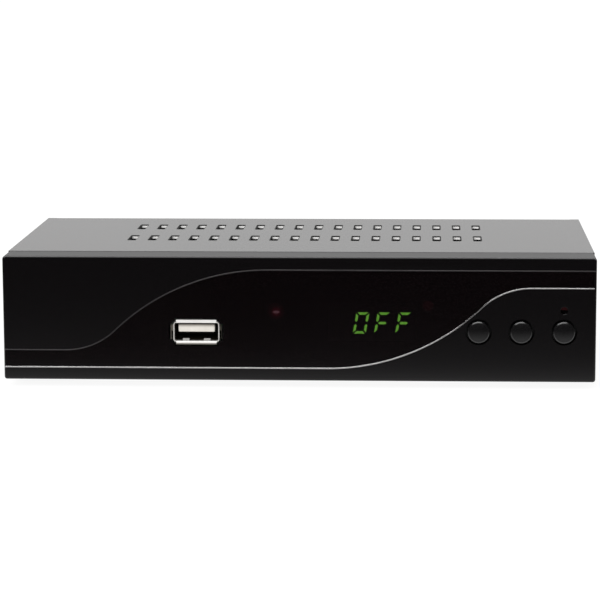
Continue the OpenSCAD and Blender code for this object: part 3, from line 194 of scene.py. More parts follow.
# Shares of the pitch between which a track's edge lies
track_edge = 0.55, 0.62
patch_size = 9.0
via_pitch = 3.2
via_radius = 0.42
laminate = grained_finish(
    "green solder mask on laminate", "#123d24", "#164a2b", grain=4.0, rough=(0.28, 0.4),
    Coat_Weight=0.2)
tree = laminate.node_tree
object_place = tree.nodes["Place"].outputs["Object"]
parts = add_node(tree, "ShaderNodeSeparateXYZ", {"Vector": object_place})
across = add_node(tree, "ShaderNodeMath", {
    0: parts.outputs[1], 1: parts.outputs[2]}, operation="ADD")
patches = add_node(tree, "ShaderNodeTexVoronoi", {
    "Vector": object_place, "Scale": 1 / (patch_size * MM)}, distance="CHEBYCHEV")
# In half of the patches the tracks run the other way
turned = add_node(tree, "ShaderNodeMath", {
    0: patches.outputs["Color"], 1: 0.5}, operation="GREATER_THAN")
along = add_node(tree, "ShaderNodeMix", {
    0: turned.outputs[0], 2: parts.outputs[0], 3: across.outputs[0]})
wave = add_node(tree, "ShaderNodeMath", {
    0: along.outputs[0], 1: track_pitch * MM}, operation="PINGPONG")
track = add_node(tree, "ShaderNodeMapRange", {
    "Value": wave.outputs[0],
    "From Min": track_edge[0] * track_pitch * MM, "From Max": track_edge[1] * track_pitch * MM})
tracked = add_node(tree, "ShaderNodeMix", {
    0: track.outputs[0], 6: tree.nodes["Shade"].outputs[2], 7: linear("#2c7a45")}, data_type="RGBA")
vias = add_node(tree, "ShaderNodeTexVoronoi", {
    "Vector": object_place, "Scale": 1 / (via_pitch * MM), "Randomness": 0.8})
via = add_node(tree, "ShaderNodeMath", {
    0: vias.outputs["Distance"], 1: via_radius / via_pitch}, operation="LESS_THAN")
holed = add_node(tree, "ShaderNodeMix", {
    0: via.outputs[0], 6: tracked.outputs[2], 7: linear("#b8b7ad")}, data_type="RGBA")
feed(laminate, Base_Color=holed.outputs[2], Metallic=via.outputs[0])
dress("main_board", laminate)

# Main board screws. Four pan-head screws with a cross recess, zinc plated, driven into the standoffs.
# All the set's screws are one form, put at their places and turned as a driver leaves them.


def skinned(shape, rings):
    """Joins each closed ring of points to the next by a band of faces"""
    for low, high in zip(rings, rings[1:]):
        for i in range(len(low)):
            j = (i + 1) % len(low)
            shape.faces.new((low[i], low[j], high[j], high[i]))


def cross_screw(head_d, head_h, shank_d, shank_l):
    """Mesh of a pan-head screw that stands head up, with its seat at the origin"""
    sides, dome_steps = 32, 6
    edge = head_h * 0.5
    arm, blade = head_d * 0.28, head_d * 0.07
    floor_share, floor_z = 0.55, head_h * 0.35
    profile = [(shank_d / 2, -shank_l), (shank_d / 2, 0.0), (head_d / 2, 0.0)]
    for i in range(dome_steps + 1):
        a = pi / 2 * i / dome_steps
        profile.append((head_d / 2 - edge + edge * cos(a), head_h - edge + edge * sin(a)))
    shape = bmesh.new()
    turns = [2 * pi * i / sides for i in range(sides)]
    rings = []
    for r, z in profile:
        rings.append([shape.verts.new((r * MM * cos(a), r * MM * sin(a), z * MM)) for a in turns])
    skinned(shape, rings)
    shape.faces.new(list(reversed(rings[0])))
    cross = [(arm, -blade), (arm, blade), (blade, blade)]
    for quarter in range(3):
        cross += [(-y, x) for x, y in cross[-3:]]
    levels = []
    for share, z in ((1.0, head_h), (floor_share, floor_z)):
        levels.append([shape.verts.new((x * share * MM, y * share * MM, z * MM)) for x, y in cross])
    skinned(shape, levels)
    shape.faces.new(levels[1])
    loops = [
        shape.edges.get((ring[i], ring[(i + 1) % len(ring)]))
        for ring in (rings[-1], levels[0]) for i in range(len(ring))]
    bmesh.ops.bridge_loops(shape, edges=loops)
    bmesh.ops.recalc_face_normals(shape, faces=shape.faces)
    return made(shape, bpy.data.meshes.new("cross screw"))


def new_tree(name, inputs):
    """A geometry tree with a mesh in and out and named inputs, and its two end nodes"""
    tree = bpy.data.node_groups.new(name, "GeometryNodeTree")
    tree.interface.new_socket("Geometry", in_out="INPUT", socket_type="NodeSocketGeometry")
    for label, kind in inputs:
        tree.interface.new_socket(label, in_out="INPUT", socket_type=kind)
    tree.interface.new_socket("Geometry", in_out="OUTPUT", socket_type="NodeSocketGeometry")
    return tree, add_node(tree, "NodeGroupInput"), add_node(tree, "NodeGroupOutput")


def ended(tree, shapes, start, end):
    """Ends a tree: its shapes are made real and given their finish"""
    real = add_node(tree, "GeometryNodeRealizeInstances", {"Geometry": shapes})
    finished = add_node(tree, "GeometryNodeSetMaterial", {
        "Geometry": real.outputs[0], "Material": start.outputs["Finish"]})
    tree.links.new(finished.outputs[0], end.inputs[0])


# Edges that fold by more than this are shaded crisp
shade_break = radians(35)


def grown(piece, tree, values):
    """Runs a geometry tree on a piece with its values, and keeps the result as a plain mesh"""
    growth = piece.modifiers.new(tree.name, "NODES")
    growth.node_group = tree
    for item in tree.interface.items_tree:
        if item.in_out == "INPUT" and item.name in values:
            growth[item.identifier] = values[item.name]
    seen = piece.evaluated_get(bpy.context.evaluated_depsgraph_get())
    mesh = bpy.data.meshes.new_from_object(seen)
    piece.modifiers.clear()
    piece.data = mesh
    mesh.name = piece.name
    mesh.shade_smooth()
    mesh.set_sharp_from_angle(angle=shade_break)


screw_tree, start, end = new_tree("screws at their places", [
    ("Screw", "NodeSocketObject"), ("Stand", "NodeSocketVector"), ("Seed", "NodeSocketInt"),
    ("Finish", "NodeSocketMaterial")])
form = add_node(screw_tree, "GeometryNodeObjectInfo", {"Object": start.outputs["Screw"]})
stand = add_node(screw_tree, "FunctionNodeEulerToRotation", {0: start.outputs["Stand"]})
put = add_node(screw_tree, "GeometryNodeInstanceOnPoints", {
    "Points": start.outputs["Geometry"], "Instance": form.outputs["Geometry"],
    "Rotation": stand.outputs[0]})
drive = add_node(screw_tree, "FunctionNodeRandomValue", {
    "Min": (0.0, 0.0, 0.0), "Max": (0.0, 0.0, 2 * pi), "Seed": start.outputs["Seed"]},
    data_type="FLOAT_VECTOR")
drive_turn = add_node(screw_tree, "FunctionNodeEulerToRotation", {0: drive.outputs[0]})
driven = add_node(screw_tree, "GeometryNodeRotateInstances", {
    "Instances": put.outputs[0], "Rotation": drive_turn.outputs[0]})
ended(screw_tree, driven.outputs[0], start, end)


def screw_set(name, node, seats, stand, form, finish, seed):
    """Cross-head screws at their seats, turned by stand, in place of a node"""
    form_piece = placed(name + " form", form, [finish])
    seat_mesh = bpy.data.meshes.new(name)
    seat_mesh.from_pydata(seats, [], [])
    piece = placed(name, seat_mesh, [finish])
    grown(piece, screw_tree, {"Screw": form_piece, "Stand": stand, "Seed": seed, "Finish": finish})
    bpy.data.objects.remove(form_piece)
    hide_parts(node)
    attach(piece, "case")


def middles(node):
    """Middle of the box of each separate solid in a node, from left to right and front to back"""
    shape = bmesh.new()
    shape.from_mesh(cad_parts[node].data)
    bmesh.ops.remove_doubles(shape, verts=shape.verts, dist=merge_gap)
    left = set(shape.verts)
    found = []
    while left:
        front = [left.pop()]
        solid = []
        while front:
            vert = front.pop()
            solid.append(vert.co.copy())
            for edge in vert.link_edges:
                other = edge.other_vert(vert)
                if other in left:
                    left.remove(other)
                    front.append(other)
        low = Vector([min(p[k] for p in solid) for k in range(3)])
        high = Vector([max(p[k] for p in solid) for k in range(3)])
        found.append((low + high) / 2)
    shape.free()
    return sorted(found, key=lambda middle: [round(c / MM, 1) for c in middle])


# Width and height of the head, and width of the shank
case_head = (5.4, 1.7, 3.0)
head_up = (0.0, 0.0, 0.0)
board_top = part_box("main_board")[1].z
board_screw_l = (board_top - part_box("board_screws")[0].z) / MM
# Clear zinc plate: the screws are a little duller and bluer than the sheet
screw_zinc = grained_finish(
    "clear zinc plated screw", "#9fa4a9", "#c9ccce", grain=0.6, rough=(0.22, 0.4), Metallic=1.0)
screw_set(
    "main_board_screws", "board_screws",
    [(m.x, m.y, board_top) for m in middles("board_screws")],
    head_up, cross_screw(*case_head, board_screw_l), screw_zinc, seed=3)

# Processor, memory and heat sink. Epoxy chip packages with a dull moulded skin, soldered flat on the
# board, and a finned length of extruded aluminium glued to the processor, with its draw lines.
chip_epoxy = grained_finish(
    "moulded chip epoxy", "#17181a", "#222325", grain=0.35, rough=(0.5, 0.68), bump=0.01)
dress("main_processor", chip_epoxy)
softened("memory_packages", "memory_chips", chip_epoxy, edge=0.12)
aluminium = grained_finish(
    "extruded aluminium", "#9b9ea1", "#bcbfc1", grain=0.3, rough=(0.3, 0.45), stretch=(1, 60, 1),
    Metallic=1.0)
softened("finned_sink", "heat_sink", aluminium, edge=0.1)

# Capacitors. Rolled aluminium cans in a shrunk plastic sleeve, with one pale stripe down the side and
# the bare top of the can showing. They stand on their leads beside the power socket.
sleeve = grained_finish(
    "shrunk capacitor sleeve", "#14182a", "#1d2238", grain=2.0, rough=(0.25, 0.38))
tree = sleeve.node_tree
# The stripe faces right, and the bare can faces up
facing = add_node(tree, "ShaderNodeSeparateXYZ", {"Vector": tree.nodes["Place"].outputs["Normal"]})
striped = add_node(tree, "ShaderNodeMapRange", {
    "Value": facing.outputs[0], "From Min": 0.9, "From Max": 0.92})
pale = add_node(tree, "ShaderNodeMix", {
    0: striped.outputs[0], 6: tree.nodes["Shade"].outputs[2], 7: linear("#a9adb4")}, data_type="RGBA")
bare_top = add_node(tree, "ShaderNodeMapRange", {
    "Value": facing.outputs[2], "From Min": 0.85, "From Max": 0.9})
topped = add_node(tree, "ShaderNodeMix", {
    0: bare_top.outputs[0], 6: pale.outputs[2], 7: linear("#c9cbcd")}, data_type="RGBA")
feed(sleeve, Base_Color=topped.outputs[2], Metallic=bare_top.outputs[0])
softened("sleeved_capacitors", "capacitors", sleeve, edge=0.15)

# Chokes and board header. Pressed ferrite shields round their windings, and a strip of black nylon
# that holds a row of tinned pins between the two boards. Ferrite is a dull sooty grey, and nylon has a
# soft sheen.
ferrite = grained_finish(
    "pressed ferrite", "#2b2b2d", "#434346", grain=0.6, rough=(0.55, 0.75), bump=0.02)
softened("shielded_chokes", "power_chokes", ferrite, edge=0.2)
nylon = grained_finish(
    "moulded black nylon", "#131415", "#1e1f21", grain=0.5, rough=(0.45, 0.6), bump=0.01)
tree = nylon.node_tree
strip_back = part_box("board_header")[1].y
pins_from = 2.55
pin_place = add_node(tree, "ShaderNodeSeparateXYZ", {
    "Vector": tree.nodes["Place"].outputs["Object"]})
pins = add_node(tree, "ShaderNodeMath", {
    0: pin_place.outputs[1], 1: strip_back - pins_from * MM}, operation="LESS_THAN")
tinned = add_node(tree, "ShaderNodeMix", {
    0: pins.outputs[0], 6: tree.nodes["Shade"].outputs[2], 7: linear("#c8c8c2")}, data_type="RGBA")
feed(nylon, Base_Color=tinned.outputs[2], Metallic=pins.outputs[0])
dress("board_header", nylon)

# Tuner. A folded can of tin-plated steel with a lid pressed over it, soldered at the board's left rear
# corner to screen the radio parts. Hot tin leaves soft cloudy smears.
tin_plate = grained_finish(
    "hot tinned steel", "#b2b4b5", "#d0d1d0", grain=3.5, rough=(0.2, 0.42), stretch=(2, 1, 1),
    Metallic=1.0)
softened("screening_can", "tuner_can", tin_plate, edge=0.2)
softened("screening_lid", "tuner_lid", tin_plate, edge=0.12)

# Aerial sockets. Turned brass barrels under bright nickel, white insulators at their roots, a split
# spring contact in the input and a round-nosed pin in the output. Turned rings run round the barrels.
# The insulators are a milky white, and the contacts' gold flash is warm and bright.
socket_nickel = grained_finish(
    "turned and nickel plated brass", "#bdb9b1", "#dad7d0", grain=0.25, rough=(0.12, 0.26), bump=0.004,
    stretch=(20, 1, 20), Metallic=1.0)
white_nylon = grained_finish(
    "moulded white insulator", "#dcd8cd", "#ece9e1", grain=0.8, rough=(0.35, 0.5))
contact_brass = grained_finish(
    "gold flashed brass", "#b8944a", "#d7b76c", grain=0.5, rough=(0.18, 0.32), Metallic=1.0)
softened("aerial_input", "rf_in_socket", socket_nickel, edge=0.2)
dress("rf_in_insulator", white_nylon)
softened("aerial_input_spring", "rf_in_contact", contact_brass, edge=0.1)
softened("aerial_output", "rf_out_plug", socket_nickel, edge=0.15)
dress("rf_out_insulator", white_nylon)
dress("rf_out_pin", contact_brass)

# Digital video socket. A folded shell of nickel-plated steel round a black moulded tongue.
# It is soldered to the board and looks out through the rear panel. The tongue's glass fill leaves it
# a dry, dull black.
black_insulator = grained_finish(
    "glass filled black moulding", "#121213", "#1f1f21", grain=0.4, rough=(0.4, 0.58), bump=0.008)
softened("video_shell", "hdmi_shell", nickel_plate, edge=0.08)
softened("video_tongue", "hdmi_tongue", black_insulator, edge=0.1)

# Digital sound socket. A black moulded base, a turned and plated barrel, and an orange insulator
# with the hole for the plug's pin. The orange is even, with a soft sheen.
orange_insulator = grained_finish(
    "moulded orange insulator", "#c4660f", "#dd8229", grain=0.8, rough=(0.35, 0.5))
softened("sound_base", "coax_base", black_insulator, edge=0.2)
softened("sound_barrel", "coax_barrel", socket_nickel, edge=0.12)
softened("sound_insulator", "coax_insulator", orange_insulator, edge=0.1)

# Wide audio and video socket. A deep black moulding with one slanted end, and two rows of flat
# spring contacts down in its slots.
softened("wide_socket", "scart_housing", black_insulator, edge=0.2)
dress("scart_contacts", contact_brass)

# Power socket. A square black moulding with a round bore and a plated centre pin.
# It is the inlet for the lead of a plug-in supply.
softened("power_socket", "dc_jack", black_insulator, edge=0.25)
softened("power_pin", "dc_pin", socket_nickel, edge=0.2)

# USB socket. A shell folded from nickel-plated sheet, with flared lips, a tab punched out of each side
# and two springs in its floor, a white moulded tongue and four gold-flashed contact strips.
pressed_nickel = grained_finish(
    "pressed nickel plated sheet", "#f1efeb", "#fbfaf7", grain=6.0, rough=(0.25, 0.35), Metallic=0.08)
tongue_nylon = grained_finish(
    "moulded white tongue", "#dad4cb", "#e6e2da", grain=3.0, rough=(0.35, 0.5))
# Pressed plate scatters the bright room, so it looks nearly white, and the tongue is a warmer white.
# Down the mouth both are darkened toward the unlit box's dark, as painted shade. The lower lip is
# darkened where it turns under and the tongue browned below the upper lip, both painted shade too.
usb_low, usb_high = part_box("usb_shell")
tongue_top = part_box("usb_tongue")[1].z
for finish, lit_depth, dark_depth, from_z, shade_from_h, shade_full_h, dull in (
        (pressed_nickel, 0.35, 2.6, usb_low.z, 0.75, 0.15, "#5c5850"),
        (tongue_nylon, 2.2, 6.0, tongue_top, -1.6, -0.1, "#483b30")):
    tree = finish.node_tree
    depth = add_node(tree, "ShaderNodeSeparateXYZ", {
        "Vector": tree.nodes["Place"].outputs["Object"]})
    # Painted shade: darker the deeper into the mouth
    depth_shade = add_node(tree, "ShaderNodeMapRange", {
        "Value": depth.outputs[1],
        "From Min": usb_low.y + lit_depth * MM, "From Max": usb_low.y + dark_depth * MM})
    depth_shaded = add_node(tree, "ShaderNodeMix", {
        0: depth_shade.outputs[0], 6: tree.nodes["Shade"].outputs[2], 7: linear("#2a241d")}, data_type="RGBA")
    # Painted shade: darker at the lower lip's underside and at the tongue's top
    height_shade = add_node(tree, "ShaderNodeMapRange", {
        "Value": depth.outputs[2],
        "From Min": from_z + shade_from_h * MM, "From Max": from_z + shade_full_h * MM},
        interpolation_type="SMOOTHSTEP")
    height_shaded = add_node(tree, "ShaderNodeMix", {
        0: height_shade.outputs[0], 6: depth_shaded.outputs[2], 7: linear(dull)}, data_type="RGBA")
    feed(finish, Base_Color=height_shaded.outputs[2])
# The sheet's cut edge is a little rough, and the tabs at the sides get a darker copy of the plate:
# painted shade for the dark slit they stand in
cut_nickel = grained_finish(
    "sheared nickel plated edge", "#d2cfca", "#dedbd6", grain=1.0, rough=(0.4, 0.5), Metallic=0.3)
shaded_tab_nickel = grained_finish(
    "mirror bright nickel plate", "#77736c", "#8b8780", grain=1.0, rough=(0.12, 0.2), Metallic=1.0)
usb_mouth = softened("usb_mouth", "usb_shell", pressed_nickel, edge=0.06)
usb_mouth.data.materials.append(cut_nickel)
usb_mouth.data.materials.append(shaded_tab_nickel)
shell_w = 13.1
tab_proud = 0.02
edge_facing = -0.97
usb_middle = (usb_low.x + usb_high.x) / 2
# Faces out past the shell's sides are the tabs and take the darker plate, painted shade; faces looking
# forward are cut edges
for face in usb_mouth.data.polygons:
    if abs(face.center.x - usb_middle) > (shell_w / 2 + tab_proud) * MM:
        face.material_index = 2
    elif face.normal.y < edge_facing:
        face.material_index = 1
tongue = softened("usb_insulator", "usb_tongue", tongue_nylon, edge=0.3)
# In front of the contacts the tongue's nose hangs a little lower
nose_drop, nose_gap = 0.35, 0.1
cut_gap = 0.01 * MM
contacts_low, contacts_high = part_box("usb_contacts")
nose_y = contacts_low.y - nose_gap * MM
shape = bmesh.new()
shape.from_mesh(tongue.data)
whole = shape.verts[:] + shape.edges[:] + shape.faces[:]
bmesh.ops.bisect_plane(shape, geom=whole, plane_co=(0, nose_y, 0), plane_no=(0, 1, 0))
for vert in shape.verts:
    if vert.co.y < nose_y - cut_gap and vert.co.z < contacts_high.z + cut_gap:
        vert.co.z -= nose_drop * MM
made(shape, tongue.data)
dress("usb_contacts", contact_brass)

# Front moulding. Black ABS, moulded in one shot with its S-shaped recess, windows, button guides and
# rim. The front face is polished in the tool, and the top and sides have a fine spark-eroded grain.
black_abs = grained_finish("polished black ABS", "#0a0809", "#0c0a0b", grain=0.5, rough=(0.16, 0.2))
tree = black_abs.node_tree
# The grain is too fine to show, so it is drawn as a rougher skin where a face looks less forward
polish_to, grain_from = -0.6, -0.1
grain_roughness = 0.48
facing = add_node(tree, "ShaderNodeSeparateXYZ", {"Vector": tree.nodes["Place"].outputs["Normal"]})
grained_side = add_node(tree, "ShaderNodeMapRange", {
    "Value": facing.outputs[1], "From Min": polish_to, "From Max": grain_from})
side_rough = add_node(tree, "ShaderNodeMix", {
    0: grained_side.outputs[0], 2: tree.nodes["Polish"].outputs[0], 3: grain_roughness})
feed(black_abs, Roughness=side_rough.outputs[0])
# The solid has its rounded edges already, and the others are left as crisp as the tool's
moulding = softened("front_moulding", "front_panel", black_abs)
# The photo shows the front a little taller than the solid: its top strip is level with the cover, and
# its foot hangs a little lower. Both die out over the strip's depth. Its top corners are rounder too.
front_low, front_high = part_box("front_panel")
front_y = front_low.y
strip_d = 11.0
edge_lift, foot_drop = 0.3, 0.15
lift_zone, foot_zone = 1.0, 1.1
face_edge_r = 0.5
top_corner_r = 0.9
arc_shares = (0.0, 0.45, 0.75)
shape = bmesh.new()
shape.from_mesh(moulding.data)
for vert in shape.verts:
    share = max(0.0, 1 - (vert.co.y - front_y) / (strip_d * MM))
    if vert.co.z > front_high.z - lift_zone * MM:
        vert.co.z += share * edge_lift * MM
    elif vert.co.z < front_low.z + foot_zone * MM:
        vert.co.z -= share * foot_drop * MM
# Cuts beside the corners give each new arc its points, and what lies outside an arc is drawn in to it
for share in arc_shares:
    inset = top_corner_r * (1 - share) * MM
    cuts = [((x, 0.0, 0.0), (1.0, 0.0, 0.0)) for x in (front_low.x + inset, front_high.x - inset)]
    cuts.append(((0.0, 0.0, front_high.z - inset), (0.0, 0.0, 1.0)))
    for spot, across in cuts:
        whole = shape.verts[:] + shape.edges[:] + shape.faces[:]
        bmesh.ops.bisect_plane(shape, geom=whole, plane_co=spot, plane_no=across)
for vert in shape.verts:
    past = max(0.0, front_y + face_edge_r * MM - vert.co.y) / MM
    inset = face_edge_r - sqrt(max(0.0, face_edge_r ** 2 - past ** 2))
    off_x = abs(vert.co.x) - (front_high.x - top_corner_r * MM)
    off_z = vert.co.z - (front_high.z - top_corner_r * MM)
    off = hypot(off_x, off_z)
    reach = (top_corner_r - inset) * MM
    if off_x >= 0 and off_z >= 0 and off > reach:
        drawn_in = reach / off - 1
        vert.co.x += copysign(1.0, vert.co.x) * off_x * drawn_in
        vert.co.z += off_z * drawn_in
# What the cuts divided and left flat is joined to whole faces again
bmesh.ops.dissolve_limit(shape, angle_limit=same_plane, verts=shape.verts, edges=shape.edges)
# The mouth of the lamp's hole is eased, so its lower rim catches a little light
mouth_ease, mouth_r = 0.18, 1.1
lamp_low, lamp_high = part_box("standby_lamp")
lamp_middle = (lamp_low + lamp_high) / 2
lamp_middle.y = front_y
mouth = [
    edge for edge in shape.edges if all((v.co - lamp_middle).length < mouth_r * MM for v in edge.verts)]
bmesh.ops.bevel(shape, geom=mouth, offset=mouth_ease * MM, segments=3, profile=0.5, affect="EDGES")
made(shape, moulding.data)
moulding.data.set_sharp_from_angle(angle=shade_break)

# Lens. Smoked acrylic sheet, cut to the S-shaped band and glued into the moulding's recess.
# It looks black, and only what glows or is pale just behind it shows through.
smoked_acrylic = grained_finish(
    "smoked acrylic", "#090506", "#0b0708", grain=30.0, rough=(0.05, 0.09), IOR=1.49, Alpha=0.75,
    Specular_IOR_Level=0.36)
softened("smoked_lens", "display_lens", smoked_acrylic, edge=0.05)

# Stripes. Two thin beads of plastic with a hot-stamped metal foil, pressed into the gaps along the
# lens's edges: a dim grey one above and a bright silver one below. Each follows its S-shaped line.
tight_r, wide_r = 20.5, 62.7
bead_tree, start, end = new_tree("bead along a line", [
    ("Section", "NodeSocketObject"), ("Finish", "NodeSocketMaterial")])
line = add_node(bead_tree, "GeometryNodeMeshToCurve", {"Mesh": start.outputs["Geometry"]})
level = add_node(bead_tree, "GeometryNodeSetCurveNormal", {
    "Curve": line.outputs[0], "Normal": (0.0, -1.0, 0.0)}, mode="FREE")
section = add_node(bead_tree, "GeometryNodeObjectInfo", {"Object": start.outputs["Section"]})
profile = add_node(bead_tree, "GeometryNodeMeshToCurve", {"Mesh": section.outputs["Geometry"]})
swept = add_node(bead_tree, "GeometryNodeCurveToMesh", {
    "Curve": level.outputs[0], "Profile Curve": profile.outputs[0], "Fill Caps": True})
ended(bead_tree, swept.outputs[0], start, end)


def stripe(name, node, finish, climb_x, hollow_r, crown_r, width, ends):
    """A half-round bead along a stripe's S-shaped line, from end to end, in place of a node"""
    arc_steps, bow_steps = 40, 12
    low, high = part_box(node)
    foot = low.z / MM + width / 2
    rise = (high.z - low.z) / MM - width
    reach = hollow_r + crown_r
    turn = acos(1 - rise / reach)
    hollow = (climb_x, foot + hollow_r)
    crown = (climb_x + reach * sin(turn), hollow[1] - reach * cos(turn))
    flat_end = front_high.x / MM - face_edge_r
    points = [(ends[0], foot), ((ends[0] - flat_end) / 2, foot), (-flat_end, foot)]
    for i in range(arc_steps + 1):
        a = -pi / 2 + turn * i / arc_steps
        points.append((hollow[0] + hollow_r * cos(a), hollow[1] + hollow_r * sin(a)))
    for i in range(1, arc_steps + 1):
        a = pi / 2 + turn * (1 - i / arc_steps)
        points.append((crown[0] + crown_r * cos(a), crown[1] + crown_r * sin(a)))
    if ends[1] > flat_end:
        points += [(flat_end, foot + rise), ((flat_end + ends[1]) / 2, foot + rise)]
    points.append((ends[1], foot + rise))
    # Towards its ends the line turns back with the face's rounded edge
    spots = []
    for x, z in points:
        past = max(0.0, abs(x) - flat_end)
        turned = face_edge_r - sqrt(face_edge_r ** 2 - past ** 2)
        spots.append((x * MM, front_y + turned * MM, z * MM))
    line_mesh = bpy.data.meshes.new(name)
    line_mesh.from_pydata(spots, [(i, i + 1) for i in range(len(spots) - 1)], [])
    proud = (front_y - low.y) / MM
    depth = (high.y - front_y) / MM
    bow = [pi * i / bow_steps for i in range(bow_steps + 1)]
    outline = [(proud * sin(a), -width / 2 * cos(a)) for a in bow]
    outline += [(-depth, width / 2), (-depth, -width / 2)]
    section_mesh = bpy.data.meshes.new(name + " section")
    section_mesh.from_pydata(
        [(x * MM, y * MM, 0.0) for x, y in outline],
        [(i, (i + 1) % len(outline)) for i in range(len(outline))], [])
    section_piece = placed(name + " section", section_mesh, [finish])
    piece = placed(name, line_mesh, [finish])
    grown(piece, bead_tree, {"Section": section_piece, "Finish": finish})
    bpy.data.objects.remove(section_piece)
    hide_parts(node)
    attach(piece, "case")


dim_foil = grained_finish(
    "dark grey stamped foil", "#444243", "#555253", grain=14.0, rough=(0.3, 0.4), Metallic=0.7)
bright_foil = grained_finish(
    "silver stamped foil", "#dcdada", "#eae8e8", grain=14.0, rough=(0.2, 0.3), Metallic=1.0)
# The silver one stops short of the right end
stripe(
    "grey_bead", "upper_stripe", dim_foil,
    climb_x=-66.3, hollow_r=tight_r, crown_r=wide_r, width=0.3, ends=(-83.85, 83.85))
stripe(
    "silver_bead", "lower_stripe", bright_foil,
    climb_x=8.3, hollow_r=wide_r, crown_r=tight_r, width=0.35, ends=(-83.85, 83.35))

# Moulding screws. Two of the same pan-head screws, driven up through the tray into the moulding's tabs,
# so their heads are seen only from below.
head_down = (pi, 0.0, 0.0)
case_screw_l = 5.0
panel_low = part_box("panel_screws")[0]
screw_set(
    "moulding_screws", "panel_screws",
    [(m.x, m.y, panel_low.z + case_head[1] * MM) for m in middles("panel_screws")],
    head_down, cross_screw(*case_head, case_screw_l), screw_zinc, seed=8)

# Front board. A narrower laminate with the same green mask, screwed to the moulding's bosses by four
# smaller pan-head screws from behind.
dress("front_board", laminate)
small_head = (4.0, 1.3, 2.2)
head_back = (-pi / 2, 0.0, 0.0)
small_low, small_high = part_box("front_board_screws")
screw_set(
    "front_board_cross_screws", "front_board_screws",
    [(m.x, small_high.y - small_head[1] * MM, m.z) for m in middles("front_board_screws")],
    head_back, cross_screw(*small_head, (small_high.y - small_low.y) / MM - small_head[1]),
    screw_zinc, seed=5)

# Display. A black moulded case with four slanted seven-segment digits and their points, lit green from
# behind. The case is matt and stays dark, and the segments that are off are a dark grey.
display_black = grained_finish(
    "moulded display case", "#0b0b0c", "#111112", grain=0.6, rough=(0.5, 0.65))
dress("display_module", display_black)
lit_green = grained_finish(
    "green lit segment", "#1a3a10", "#24481a", grain=0.6, rough=(0.4, 0.5), Emission_Strength=6.5)
tree = lit_green.node_tree
glow = add_node(tree, "ShaderNodeMix", {
    0: tree.nodes["Grain"].outputs[0], 6: linear("#69b536"), 7: linear("#89d052")}, data_type="RGBA")
feed(lit_green, Emission_Color=glow.outputs[2])
dress("lit_segments", lit_green)
dark_segment = grained_finish(
    "unlit segment resin", "#131413", "#1a1b1a", grain=0.6, rough=(0.4, 0.55))
dress("unlit_segments", dark_segment)

# Remote receiver and lamps. Cast epoxy, soldered to the front board: the receiver's block lets only
# infrared through and looks a very dark red, and the two unlit lamps are clear dark red domes.
# Each is given a faint red emission, painted light, so it shows a faint red glow through the lens.
remote_epoxy = grained_finish(
    "infrared black epoxy", "#2a0d10", "#3a1418", grain=1.0, rough=(0.2, 0.3), Emission_Strength=2.4)
tree = remote_epoxy.node_tree
remote_low, remote_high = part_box("remote_receiver")
# Over the chip that sees the light sits a painted highlight: a pale glowing dash near the block's middle,
# in a small red glowing disc, and each fades out over its rim
chip_drop = 0.45
chip = (remote_low + remote_high) / 2 - Vector((0.0, 0.0, chip_drop * MM))
from_chip = add_node(tree, "ShaderNodeVectorMath", {
    0: tree.nodes["Place"].outputs["Object"], 1: chip}, operation="SUBTRACT")
painted_glow_colour = linear("#170103")
for half_w, half_h, colour in ((1.3, 1.3, "#4b0715"), (0.95, 0.4, "#9c6975")):
    scaled = add_node(tree, "ShaderNodeVectorMath", {
        0: from_chip.outputs[0], 1: (1 / (half_w * MM), 0.0, 1 / (half_h * MM))}, operation="MULTIPLY")
    off = add_node(tree, "ShaderNodeVectorMath", {0: scaled.outputs[0]}, operation="LENGTH")
    share = add_node(tree, "ShaderNodeMapRange", {
        "Value": off.outputs["Value"], "From Min": 1.2, "From Max": 0.8})
    added = add_node(tree, "ShaderNodeMix", {
        0: share.outputs[0], 6: painted_glow_colour, 7: linear(colour)}, data_type="RGBA")
    painted_glow_colour = added.outputs[2]
feed(remote_epoxy, Emission_Color=painted_glow_colour)
dress("remote_receiver", remote_epoxy)
# Painted light: each unlit lamp is given a faint red emission
for node, name, glow, strength in (
        ("standby_lamp", "red lamp epoxy", "#c07880", 0.02),
        ("signal_lamp", "red lamp epoxy behind the lens", "#c04a58", 0.075)):
    lamp_epoxy = grained_finish(
        name, "#4a0f10", "#661819", grain=1.0, rough=(0.12, 0.2), Emission_Color=linear(glow),
        Emission_Strength=strength)
    dress(node, lamp_epoxy)

# Push switches. Square black moulded cases on the front board, each with a plunger of waxy grey acetal
# that the button's stem pushes in.
plunger_grey = grained_finish(
    "moulded grey acetal", "#7b7b79", "#929290", grain=0.5, rough=(0.35, 0.48))
for side in ("left", "middle", "right"):
    dress("switch_" + side, nylon)
    dress("plunger_" + side, plunger_grey)

# Buttons. Three round caps of black ABS under a clear lacquer, each with a crowned face, a rounded
# rim, a flange that keeps it in the moulding and a stem on its switch's plunger. The lacquer gives
# the face a soft sheen and the rim a bright edge.
button_abs = grained_finish(
    "lacquered black ABS", "#0c0b0c", "#100f10", grain=0.25, rough=(0.2, 0.25), bump=0.002, IOR=1.6,
    Coat_Weight=0.8, Coat_Roughness=0.2)
for side in ("left", "middle", "right"):
    softened(
        "button_cap_" + side, "button_" + side, button_abs, side + "_button", edge=0.05)

# Top cover. Steel sheet painted satin black before it was punched, then folded down at both sides and
# at the back. The punch rolls the slots' top edges over, and their ends show bare steel.
cover_low, cover_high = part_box("top_cover")
sheet_t = 1.0
bend_r = 1.4
lip_h = 8.0
slot_w, slot_l = 2.0, 11.0
slot_count, slot_pitch = 18, 6.03
slot_middle_y, row_distance = 54.1, 26.0
half_w = cover_high.x / MM
top_z = cover_high.z / MM
foot_z = cover_low.z / MM
back_y = cover_high.y / MM
lip_end = half_w - 2 * bend_r
